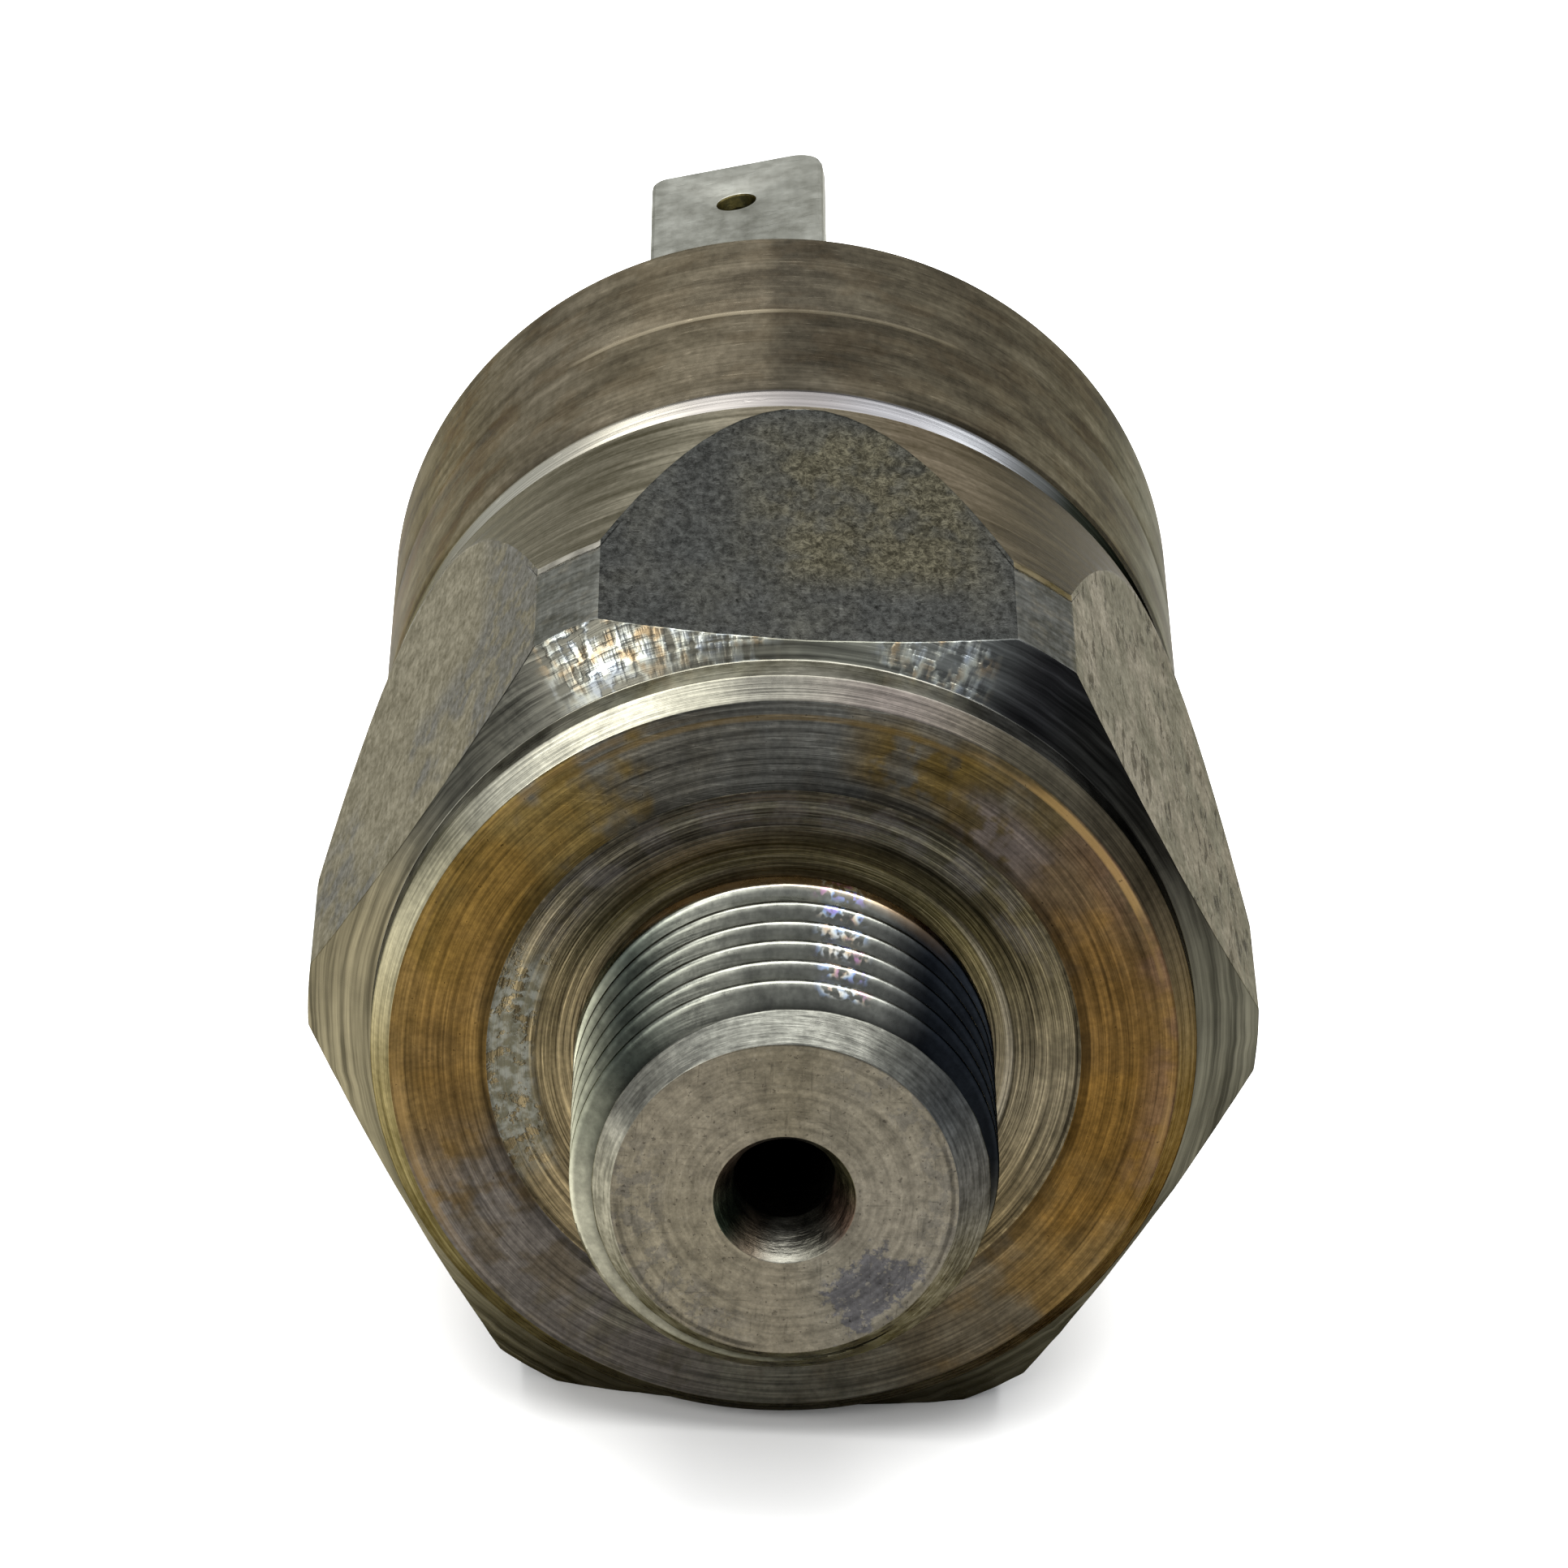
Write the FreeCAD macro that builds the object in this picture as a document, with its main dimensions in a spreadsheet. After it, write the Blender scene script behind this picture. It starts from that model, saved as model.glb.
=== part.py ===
import FreeCAD, Part
import os
import math
import Sketcher

# Pressure switch with a 27 mm hexagon, a G1/4 threaded port and two 6.3 mm
# blade terminals.  Frame: the origin is on the switch's axis in the plane of
# the sealing face, the threaded stub points to -Y, the terminals to +Y, and
# +Z is up when the switch lies on one flat of its hexagon.

doc = FreeCAD.newDocument("pressure_switch")

# ---------------------------------------------------------------- dimensions
# all in mm; every y is measured from the sealing face along the axis
V = {
    # hexagon fitting
    "hex_af": 27.0,
    "bar_r": 15.0,
    "stub_y": -9.4,
    "mouth_r": 2.15,
    "csink_y": -8.25,
    "port_r": 1.6,
    "stub_face_r": 5.3,
    "lead_in_y": -8.05,
    "thread_r": 6.5785,
    "thread_pitch": 1.337,
    "thread_root_r": 5.73,
    "crest_half": 0.16,
    "root_half": 0.18,
    "first_root_y": -1.55,
    "thread_end_y": -0.45,
    "relief_r": 5.75,
    "recess_y": 0.4,
    "recess_r": 7.1,
    "step_in_r": 8.9,
    "step_y": 0.12,
    "step_out_r": 9.3,
    "face_r": 12.35,
    "flange_r": 12.95,
    "bevel_y": 0.6,
    "hex_front_y": 1.68,
    "hex_full_y": 2.87,
    "taper_y": 8.6,
    "taper_r": 13.45,
    "hex_rear_y": 20.3,
    "neck_r": 12.5,
    "seam_y": 20.8,
    "spigot_r": 11.6,
    "spigot_y": 27.0,
    "works_r": 9.8,
    "clamp_top_y": 17.0,
    "seat_r": 9.0,
    "seat_y": 12.0,
    "gland_out_r": 8.15,
    "gland_in_r": 6.85,
    "chamber_y": 10.9,
    "chamber_r": 6.0,
    # collar
    "collar_r": 13.3,
    "collar_nose_r": 12.6,
    "collar_mid_r": 13.08,
    "collar_mid_y": 21.55,
    "collar_fair_r": 13.24,
    "collar_fair_y": 22.0,
    "collar_full_y": 22.7,
    "lip_in_y": 34.6,
    "lip_chamfer_y": 35.0,
    "lip_chamfer_r": 12.9,
    "collar_rear_y": 35.4,
    "lip_r": 10.4,
    # diaphragm stack
    "diaphragm_y": 12.8,
    "seal_major": 7.5,
    "seal_minor": 0.55,
    "guide_r": 5.05,
    "piston_r": 5.0,
    "piston_edge_r": 4.7,
    "piston_edge_y": 13.1,
    "piston_shoulder_y": 17.0,
    "piston_boss_r": 3.0,
    "piston_top_y": 17.6,
    # plunger and contacts
    "pusher_disc_r": 4.4,
    "pusher_disc_y": 18.8,
    "pusher_r": 2.2,
    "clip_groove_r": 1.9,
    "bridge_y": 21.6,
    "bridge_top_y": 22.1,
    "clip_top_y": 22.6,
    "pusher_top_y": 25.0,
    "bridge_len": 14.6,
    "bridge_wide": 6.0,
    "bridge_thick": 0.5,
    "bridge_hole_r": 2.3,
    "clip_r": 3.5,
    "clip_thick": 0.5,
    "clip_gap": 2.6,
    "contact_off": 5.6,
    "contact_r": 1.3,
    "contact_tall": 0.8,
    "shank_r": 0.6,
    "fixed_face_y": 23.42,
    "foot_y": 24.2,
    "cspring_mean_r": 2.72,
    "cspring_wire_r": 0.22,
    "cspring_turns": 3.5,
    # range spring and its seats
    "lseat_r": 3.9,
    "lseat_y": 26.0,
    "lseat_boss_r": 2.3,
    "lseat_boss_y": 27.2,
    "useat_boss_y": 34.8,
    "useat_y": 36.0,
    "useat_top_y": 37.2,
    "rspring_mean_r": 3.12,
    "rspring_wire_r": 0.5,
    "rspring_turns": 6.0,
    # adjusting screw and insert
    "screw_r": 2.95,
    "screw_tip_r": 2.4,
    "screw_tip_y": 37.75,
    "screw_edge_r": 2.6,
    "screw_edge_y": 43.85,
    "screw_top_y": 44.2,
    "slot_wide": 0.9,
    "slot_deep": 1.3,
    "insert_bore_r": 3.0,
    "insert_r": 4.8,
    "insert_waist_r": 4.4,
    "insert_y": 39.0,
    "insert_a_y": 41.0,
    "insert_b_y": 41.2,
    "insert_c_y": 41.8,
    "insert_d_y": 42.0,
    "insert_top_y": 44.0,
    # terminal base
    "base_bore_r": 4.2,
    "base_nose_r": 9.7,
    "base_r": 11.6,
    "groove_lo_y": 29.4,
    "groove_hi_y": 30.6,
    "groove_r": 10.5,
    "oring_major": 11.05,
    "oring_y": 30.0,
    "base_top_y": 33.8,
    "neck_out_r": 9.0,
    "neck_edge_r": 8.6,
    "neck_edge_y": 45.1,
    "neck_top_y": 45.5,
    "recess_top_r": 4.0,
    "washer_r": 9.2,
    "boss_top_y": 46.3,
    "boss_in": 5.9,
    "boss_out": 7.75,
    "boss_wide": 7.2,
    # blade terminals
    "blade_wide": 6.3,
    "blade_thick": 0.8,
    "blade_off": 7.0,
    "blade_shift": -0.1,
    "blade_tip_y": 56.8,
    "blade_hole_y": 53.2,
    "blade_hole_r": 0.75,
    "blade_nick_x": 0.5,
    "blade_nick_y": 0.7,
    "blade_clip_x": 1.1,
    "blade_clip_y": 1.3,
    "blade_angle": 14.5,
    "foot_wide": 4.4,
    "foot_in": 4.5,
    "base_under_y": 25.0,
}
# dimensions that follow from the ones above
V["hex_circum"] = V["hex_af"] / 2.0 / math.cos(math.pi / 6.0)
V["bar_start_y"] = V["stub_y"] - 1.0
V["bar_long"] = V["spigot_y"] + 1.0 - V["bar_start_y"]
V["thread_span"] = V["thread_pitch"] * 4.0
V["root_lo_y"] = V["first_root_y"] - V["root_half"]
V["root_hi_y"] = V["first_root_y"] + V["root_half"]
V["crest_lo_y"] = V["first_root_y"] - V["thread_pitch"] / 2.0 + V["crest_half"]
V["crest_hi_y"] = V["first_root_y"] + V["thread_pitch"] / 2.0 - V["crest_half"]
V["blade_long"] = V["blade_tip_y"] - V["foot_y"]
V["shank_tall"] = V["bridge_thick"]
V["foot_thick"] = V["base_under_y"] - V["foot_y"]
V["head_tall"] = V["foot_y"] - V["fixed_face_y"]
V["slot_floor_y"] = V["screw_top_y"] - V["slot_deep"]
V["slot_run"] = V["boss_top_y"] - V["base_under_y"] + 1.0
V["slot_start_y"] = V["base_under_y"] - 1.0
V["boss_tall"] = V["boss_top_y"] - V["neck_top_y"]
V["boss_depth"] = V["boss_out"] - V["boss_in"]
V["boss_root_y"] = V["insert_top_y"]
V["boss_root_tall"] = V["neck_edge_y"] - V["insert_top_y"]
V["seal_y"] = V["chamber_y"] + V["seal_minor"]
V["leaf_left"] = V["blade_shift"] - V["blade_wide"] / 2.0
V["leaf_right"] = V["blade_shift"] + V["blade_wide"] / 2.0
V["leaf_left_nick"] = V["leaf_left"] + V["blade_nick_x"]
V["leaf_right_nick"] = V["leaf_right"] - V["blade_clip_x"]
V["nick_y"] = V["blade_tip_y"] - V["blade_nick_y"]
V["clip_y"] = V["blade_tip_y"] - V["blade_clip_y"]

sheet = doc.addObject("Spreadsheet::Sheet", "dims")
for row, key in enumerate(sorted(V)):
    sheet.set("A%d" % (row + 1), key)
    sheet.set("B%d" % (row + 1), repr(round(V[key], 6)))
    sheet.setAlias("B%d" % (row + 1), key)
doc.recompute()

parts = []


def keep(obj, node):
    obj.Label = node
    parts.append((node, obj))
    return obj


def plane(body, role):
    for feature in body.Origin.OriginFeatures:
        if feature.Role == role:
            return feature
    raise RuntimeError("no plane " + role)


def polygon(body, name, role, points):
    """closed outline; every corner is tied to two cells of the sheet"""
    sk = body.newObject("Sketcher::SketchObject", name)
    sk.AttachmentSupport = (plane(body, role), [""])
    sk.MapMode = "FlatFace"
    n = len(points)

    def val(a):
        if a == 0:
            return 0.0
        return -V[a[1:]] if a.startswith("-") else V[a]

    xy = [FreeCAD.Vector(val(a), val(b), 0) for a, b in points]
    for i in range(n):
        sk.addGeometry(Part.LineSegment(xy[i], xy[(i + 1) % n]), False)
    for i in range(n):
        sk.addConstraint(Sketcher.Constraint("Coincident", i, 2, (i + 1) % n, 1))
    for i, (a, b) in enumerate(points):
        for kind, axis, key in (("DistanceX", -2, a), ("DistanceY", -1, b)):
            if key == 0:
                sk.addConstraint(Sketcher.Constraint("PointOnObject", i, 1, axis))
            else:
                c = sk.addConstraint(Sketcher.Constraint(kind, -1, 1, i, 1, val(key)))
                text = "-dims." + key[1:] if key.startswith("-") else "dims." + key
                sk.setExpression("Constraints[%d]" % c, text)
    return sk


def turned(name, points, node=None):
    """body of revolution about the switch's axis; points are (radius, y)"""
    body = doc.addObject("PartDesign::Body", name)
    sk = polygon(body, name + "_profile", "XY_Plane", points)
    rev = body.newObject("PartDesign::Revolution", name + "_turned")
    rev.Profile = sk
    rev.ReferenceAxis = (sk, ["V_Axis"])
    rev.Angle = 360
    body.Tip = rev
    doc.recompute()
    if node:
        keep(body, node)
    return body


TO_Y = FreeCAD.Rotation(FreeCAD.Vector(1, 0, 0), -90)   # local Z becomes +Y


def along_y(kind, name, radius_cells, height, y, turn=None, off=None):
    """cylinder, cone or prism standing along the axis from height y"""
    obj = doc.addObject(kind, name)
    for prop, cell in radius_cells.items():
        obj.setExpression(prop, "dims." + cell)
    obj.setExpression("Height", "dims." + height)
    obj.Placement = FreeCAD.Placement(FreeCAD.Vector(0, V[y], 0), TO_Y)
    obj.setExpression("Placement.Base.y", "dims." + y)
    return obj


# ---------------------------------------------------------- hexagon fitting
blank = turned("port_blank", [
    ("mouth_r", "stub_y"), ("stub_face_r", "stub_y"), ("thread_r", "lead_in_y"),
    ("thread_r", "thread_end_y"), ("relief_r", 0), ("relief_r", "recess_y"),
    ("recess_r", "recess_y"), ("step_in_r", "step_y"),
    ("step_out_r", 0), ("face_r", 0), ("flange_r", "bevel_y"),
    ("flange_r", "hex_front_y"), ("bar_r", "hex_full_y"), ("bar_r", "taper_y"),
    ("taper_r", "hex_rear_y"), ("neck_r", "hex_rear_y"), ("neck_r", "seam_y"),
    ("spigot_r", "seam_y"), ("spigot_r", "spigot_y"), ("works_r", "spigot_y"),
    ("works_r", "clamp_top_y"), ("seat_r", "clamp_top_y"), ("seat_r", "seat_y"),
    ("gland_out_r", "seat_y"), ("gland_out_r", "chamber_y"),
    ("gland_in_r", "chamber_y"), ("gland_in_r", "seat_y"),
    ("chamber_r", "seat_y"), ("chamber_r", "chamber_y"),
    ("port_r", "chamber_y"), ("port_r", "csink_y"),
])
# thread: one groove, repeated at the pitch
cut = polygon(blank, "thread_groove_profile", "XY_Plane", [
    ("thread_root_r", "root_lo_y"), ("thread_root_r", "root_hi_y"),
    ("thread_r", "crest_hi_y"), ("thread_r", "crest_lo_y"),
])
groove = blank.newObject("PartDesign::Groove", "thread_groove")
groove.Profile = cut
groove.ReferenceAxis = (cut, ["V_Axis"])
groove.Angle = 360
doc.recompute()
rows = blank.newObject("PartDesign::LinearPattern", "thread_grooves")
rows.Originals = [groove]
rows.Direction = (cut, ["V_Axis"])
rows.Reversed = True
rows.Occurrences = 5
rows.setExpression("Length", "dims.thread_span")
blank.Tip = rows
doc.recompute()

hex_bar = doc.addObject("Part::Prism", "hex_bar")
hex_bar.Polygon = 6
hex_bar.setExpression("Circumradius", "dims.hex_circum")
hex_bar.setExpression("Height", "dims.bar_long")
hex_bar.Placement = FreeCAD.Placement(FreeCAD.Vector(0, V["bar_start_y"], 0), TO_Y)
hex_bar.setExpression("Placement.Base.y", "dims.bar_start_y")
fitting = doc.addObject("Part::Common", "fitting")
fitting.Base = blank
fitting.Tool = hex_bar
keep(fitting, "port_body")

# ------------------------------------------------------------------- collar
turned("collar", [
    ("spigot_r", "seam_y"), ("collar_nose_r", "seam_y"),
    ("collar_mid_r", "collar_mid_y"), ("collar_fair_r", "collar_fair_y"),
    ("collar_r", "collar_full_y"), ("collar_r", "lip_chamfer_y"),
    ("lip_chamfer_r", "collar_rear_y"), ("lip_r", "collar_rear_y"),
    ("lip_r", "lip_in_y"), ("spigot_r", "lip_in_y"),
], "housing_sleeve")

# ---------------------------------------------------------- diaphragm stack
disc = along_y("Part::Cylinder", "membrane", {"Radius": "seat_r"}, "blade_thick", "seat_y")
keep(disc, "diaphragm")


def ring(name, major, minor, y, node):
    t = doc.addObject("Part::Torus", name)
    t.setExpression("Radius1", "dims." + major)
    t.setExpression("Radius2", "dims." + minor)
    t.Placement = FreeCAD.Placement(FreeCAD.Vector(0, V[y], 0), TO_Y)
    t.setExpression("Placement.Base.y", "dims." + y)
    return keep(t, node)


ring("membrane_seal", "seal_major", "seal_minor", "seal_y", "diaphragm_o_ring")

turned("clamp", [
    ("guide_r", "diaphragm_y"), ("seat_r", "diaphragm_y"),
    ("seat_r", "clamp_top_y"), ("guide_r", "clamp_top_y"),
], "clamp_ring")

turned("piston", [
    (0, "diaphragm_y"), ("piston_edge_r", "diaphragm_y"), ("piston_r", "piston_edge_y"),
    ("piston_r", "piston_shoulder_y"), ("piston_boss_r", "piston_shoulder_y"),
    ("piston_boss_r", "piston_top_y"), (0, "piston_top_y"),
], "pressure_piston")

# ----------------------------------------------------- plunger and contacts
turned("pusher", [
    (0, "piston_top_y"), ("pusher_disc_r", "piston_top_y"),
    ("pusher_disc_r", "pusher_disc_y"), ("pusher_r", "pusher_disc_y"),
    ("pusher_r", "bridge_top_y"), ("clip_groove_r", "bridge_top_y"),
    ("clip_groove_r", "clip_top_y"), ("pusher_r", "clip_top_y"),
    ("pusher_r", "pusher_top_y"), (0, "pusher_top_y"),
], "plunger")

SWING = FreeCAD.Rotation(FreeCAD.Vector(0, 1, 0), -V["blade_angle"])
FACE = FreeCAD.Rotation(FreeCAD.Vector(0, 1, 0), 180.0 - V["blade_angle"])


def swung(obj, rotation):
    """turn a finished piece about the switch's axis to the terminals' angle"""
    obj.Placement = FreeCAD.Placement(FreeCAD.Vector(0, 0, 0), rotation)
    return obj


def rod(name, radius, height, y, off):
    """cylinder along the axis, set off the axis along local Z"""
    c = doc.addObject("Part::Cylinder", name)
    c.setExpression("Radius", "dims." + radius)
    c.setExpression("Height", "dims." + height)
    z = V["contact_off"] * off
    c.Placement = FreeCAD.Placement(FreeCAD.Vector(0, V[y], z), TO_Y)
    c.setExpression("Placement.Base.y", "dims." + y)
    if off:
        c.setExpression("Placement.Base.z", "%d * dims.contact_off" % off)
    return c


def block(name, wide, high, deep, x, y, z):
    """box whose sizes and corner come from the sheet; x, y, z are expressions"""
    b = doc.addObject("Part::Box", name)
    b.setExpression("Length", wide)
    b.setExpression("Width", high)
    b.setExpression("Height", deep)
    b.setExpression("Placement.Base.x", x)
    b.setExpression("Placement.Base.y", y)
    b.setExpression("Placement.Base.z", z)
    return b


def cut_all(name, base, tools):
    c = doc.addObject("Part::Cut", name)
    c.Base = base
    if len(tools) == 1:
        c.Tool = tools[0]
    else:
        f = doc.addObject("Part::MultiFuse", name + "_tools")
        f.Shapes = tools
        c.Tool = f
    return c


def fuse_all(name, shapes):
    f = doc.addObject("Part::MultiFuse", name)
    f.Shapes = shapes
    return f


strip = block("bridge_strip", "dims.bridge_wide", "dims.bridge_thick", "dims.bridge_len",
              "-dims.bridge_wide / 2", "dims.bridge_y", "-dims.bridge_len / 2")
hole0 = rod("bridge_bore", "bridge_hole_r", "bridge_thick", "bridge_y", 0)
hole1 = rod("bridge_rivet_a", "shank_r", "bridge_thick", "bridge_y", 1)
hole2 = rod("bridge_rivet_b", "shank_r", "bridge_thick", "bridge_y", -1)
bridge = cut_all("bridge_drilled", strip, [hole0, hole1, hole2])
keep(swung(bridge, SWING), "contact_bridge")

buttons = []
for tag, side in (("a", 1), ("b", -1)):
    head = rod("button_head_" + tag, "contact_r", "contact_tall", "bridge_top_y", side)
    shank = rod("button_shank_" + tag, "shank_r", "bridge_thick", "bridge_y", side)
    buttons.append(fuse_all("button_" + tag, [head, shank]))
group = doc.addObject("Part::Compound", "buttons")
group.Links = buttons
keep(swung(group, SWING), "moving_contacts")

rivets = []
for tag, side in (("a", 1), ("b", -1)):
    head = rod("rivet_head_" + tag, "contact_r", "head_tall", "fixed_face_y", side)
    shank = rod("rivet_shank_" + tag, "shank_r", "foot_thick", "foot_y", side)
    rivets.append(fuse_all("rivet_" + tag, [head, shank]))
group = doc.addObject("Part::Compound", "rivets")
group.Links = rivets
keep(swung(group, SWING), "fixed_contacts")

clip_disc = along_y("Part::Cylinder", "clip_disc", {"Radius": "clip_r"}, "clip_thick", "bridge_top_y")
clip_bore = along_y("Part::Cylinder", "clip_bore", {"Radius": "clip_groove_r"}, "clip_thick", "bridge_top_y")
clip_gap = block("clip_slot", "dims.clip_r + 1", "dims.clip_thick", "dims.clip_gap",
                 "0", "dims.bridge_top_y", "-dims.clip_gap / 2")
clip = cut_all("clip_cut", clip_disc, [clip_bore, clip_gap])
keep(swung(clip, SWING), "bridge_clip")


def spring(name, node, mean_r, wire_r, turns, y0, y1):
    """round wire coil, its ends ground flat at y0 and y1"""
    r, w = V[mean_r], V[wire_r]
    span = V[y1] - V[y0]
    # the coil runs from half a wire inside each ground face
    pitch = span / V[turns]
    helix = Part.makeHelix(pitch, span, r)
    profile = Part.Wire([Part.Circle(FreeCAD.Vector(r, 0, 0), FreeCAD.Vector(0, 1, 0), w).toShape()])
    coil = Part.Wire(helix.Edges).makePipeShell([profile], True, True)
    shell = Part.makeCylinder(r + w + 1.0, span)
    coil = coil.common(shell)
    if not coil.isValid() or len(coil.Solids) != 1:
        raise RuntimeError("spring " + name)
    f = doc.addObject("Part::Feature", name)
    f.Shape = coil.Solids[0]
    f.Placement = FreeCAD.Placement(FreeCAD.Vector(0, V[y0], 0), TO_Y)
    return keep(f, node)


spring("overtravel_coil", "contact_spring", "cspring_mean_r", "cspring_wire_r",
       "cspring_turns", "pusher_disc_y", "bridge_y")

# ------------------------------------------------- range spring and its seats
turned("seat_lower", [
    (0, "pusher_top_y"), ("lseat_r", "pusher_top_y"), ("lseat_r", "lseat_y"),
    ("lseat_boss_r", "lseat_y"), ("lseat_boss_r", "lseat_boss_y"), (0, "lseat_boss_y"),
], "lower_spring_seat")
spring("range_coil", "range_spring", "rspring_mean_r", "rspring_wire_r",
       "rspring_turns", "lseat_y", "useat_y")
turned("seat_upper", [
    (0, "useat_boss_y"), ("lseat_boss_r", "useat_boss_y"), ("lseat_boss_r", "useat_y"),
    ("lseat_r", "useat_y"), ("lseat_r", "useat_top_y"), (0, "useat_top_y"),
], "upper_spring_seat")

# ------------------------------------------------- adjusting screw and insert
screw_blank = turned("screw_blank", [
    (0, "useat_top_y"), ("screw_tip_r", "useat_top_y"), ("screw_r", "screw_tip_y"),
    ("screw_r", "screw_edge_y"), ("screw_edge_r", "screw_top_y"), (0, "screw_top_y"),
])
slot = block("screw_slot", "dims.slot_wide", "dims.slot_deep", "2 * dims.screw_r + 2",
             "-dims.slot_wide / 2", "dims.slot_floor_y", "-dims.screw_r - 1")
screw = cut_all("screw_slotted", screw_blank, [slot])
keep(screw, "adjusting_screw")
turned("insert", [
    ("insert_bore_r", "insert_y"), ("insert_r", "insert_y"), ("insert_r", "insert_a_y"),
    ("insert_waist_r", "insert_b_y"), ("insert_waist_r", "insert_c_y"),
    ("insert_r", "insert_d_y"), ("insert_r", "insert_top_y"), ("insert_bore_r", "insert_top_y"),
], "adjuster_insert")

# ------------------------------------------------------------- terminal base
base_blank = turned("base_blank", [
    ("base_bore_r", "base_under_y"), ("base_nose_r", "base_under_y"),
    ("base_nose_r", "spigot_y"), ("base_r", "spigot_y"), ("base_r", "groove_lo_y"),
    ("groove_r", "groove_lo_y"), ("groove_r", "groove_hi_y"), ("base_r", "groove_hi_y"),
    ("base_r", "base_top_y"), ("neck_out_r", "base_top_y"), ("neck_out_r", "neck_edge_y"),
    ("neck_edge_r", "neck_top_y"), ("recess_top_r", "neck_top_y"),
    ("recess_top_r", "insert_top_y"), ("insert_r", "insert_top_y"),
    ("insert_r", "insert_d_y"), ("insert_waist_r", "insert_c_y"),
    ("insert_waist_r", "insert_b_y"), ("insert_r", "insert_a_y"),
    ("insert_r", "insert_y"), ("base_bore_r", "insert_y"),
])
bosses, slots = [], []
for tag, rotation in (("a", SWING), ("b", FACE)):
    boss = block("boss_" + tag, "dims.boss_wide", "dims.boss_tall", "dims.boss_depth",
                 "dims.blade_shift - dims.boss_wide / 2", "dims.neck_top_y", "dims.boss_in")
    run = block("slot_" + tag, "dims.blade_wide", "dims.slot_run", "dims.blade_thick",
                "dims.blade_shift - dims.blade_wide / 2", "dims.slot_start_y",
                "dims.blade_off - dims.blade_thick / 2")
    root = block("boss_root_" + tag, "dims.boss_wide", "dims.boss_root_tall",
                 "dims.boss_depth", "dims.blade_shift - dims.boss_wide / 2",
                 "dims.boss_root_y", "dims.boss_in")
    bosses.append(swung(fuse_all("boss_whole_" + tag, [boss, root]), rotation))
    way = doc.addObject("Part::Compound", "slot_turned_" + tag)
    way.Links = [run]
    slots.append(swung(way, rotation))
base_solid = fuse_all("base_bossed", [base_blank] + bosses)
base = cut_all("base_slotted", base_solid, slots)
keep(base, "terminal_base")

ring("base_seal", "oring_major", "seal_minor", "oring_y", "housing_o_ring")
turned("lip_washer", [
    ("washer_r", "base_top_y"), ("base_r", "base_top_y"),
    ("base_r", "lip_in_y"), ("washer_r", "lip_in_y"),
], "crimp_washer")

# ------------------------------------------------------------ blade terminals
for tag, rotation, node in (("a", SWING, "terminal_blade_upper"), ("b", FACE, "terminal_blade_lower")):
    leaf = doc.addObject("PartDesign::Body", "leaf_" + tag)
    sk = polygon(leaf, "leaf_outline_" + tag, "XY_Plane", [
        ("leaf_left", "foot_y"), ("leaf_right", "foot_y"), ("leaf_right", "clip_y"),
        ("leaf_right_nick", "blade_tip_y"), ("leaf_left_nick", "blade_tip_y"), ("leaf_left", "nick_y"),
    ])
    eye = sk.addGeometry(Part.Circle(FreeCAD.Vector(V["blade_shift"], V["blade_hole_y"], 0),
                                     FreeCAD.Vector(0, 0, 1), V["blade_hole_r"]), False)
    for kind, key, value in (("DistanceX", "blade_shift", V["blade_shift"]),
                             ("DistanceY", "blade_hole_y", V["blade_hole_y"])):
        c = sk.addConstraint(Sketcher.Constraint(kind, -1, 1, eye, 3, value))
        sk.setExpression("Constraints[%d]" % c, "dims." + key)
    c = sk.addConstraint(Sketcher.Constraint("Radius", eye, V["blade_hole_r"]))
    sk.setExpression("Constraints[%d]" % c, "dims.blade_hole_r")
    pad = leaf.newObject("PartDesign::Pad", "leaf_pad_" + tag)
    pad.Profile = sk
    pad.setExpression("Length", "dims.blade_thick")
    leaf.Tip = pad
    leaf.setExpression("Placement.Base.z", "dims.blade_off - dims.blade_thick / 2")
    foot = block("foot_" + tag, "dims.foot_wide", "dims.foot_thick",
                 "dims.blade_off + dims.blade_thick / 2 - dims.foot_in",
                 "-dims.foot_wide / 2", "dims.foot_y", "dims.foot_in")
    eyelet = rod("foot_eye_" + tag, "shank_r", "foot_thick", "foot_y", 1)
    whole = fuse_all("leaf_whole_" + tag, [leaf, foot])
    doc.recompute()
    terminal = cut_all("leaf_drilled_" + tag, whole, [eyelet])
    keep(swung(terminal, rotation), node)

doc.recompute()

# ------------------------------------------------------------------- checks
for obj in doc.Objects:
    bad = [s for s in obj.State if s in ("Invalid", "Error")]
    if bad:
        raise RuntimeError("%s is %s" % (obj.Label, bad))
for node, obj in parts:
    shape = obj.Shape
    if shape.isNull() or not shape.isValid() or not shape.Solids:
        raise RuntimeError("bad shape in " + node)

os.makedirs("parts", exist_ok=True)
for node, obj in parts:
    obj.Shape.exportStep(os.path.join("parts", node + ".step"))
    b = obj.Shape.BoundBox
    print("%-22s solids %d volume %9.2f  y %7.2f..%6.2f  x %7.2f..%6.2f  z %7.2f..%6.2f" % (
        node, len(obj.Shape.Solids), obj.Shape.Volume, b.YMin, b.YMax, b.XMin, b.XMax, b.ZMin, b.ZMax))
print(len(parts), "nodes")
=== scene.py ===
import math

import bmesh
import bpy
import numpy as np
from mathutils import Matrix, Vector


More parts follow.
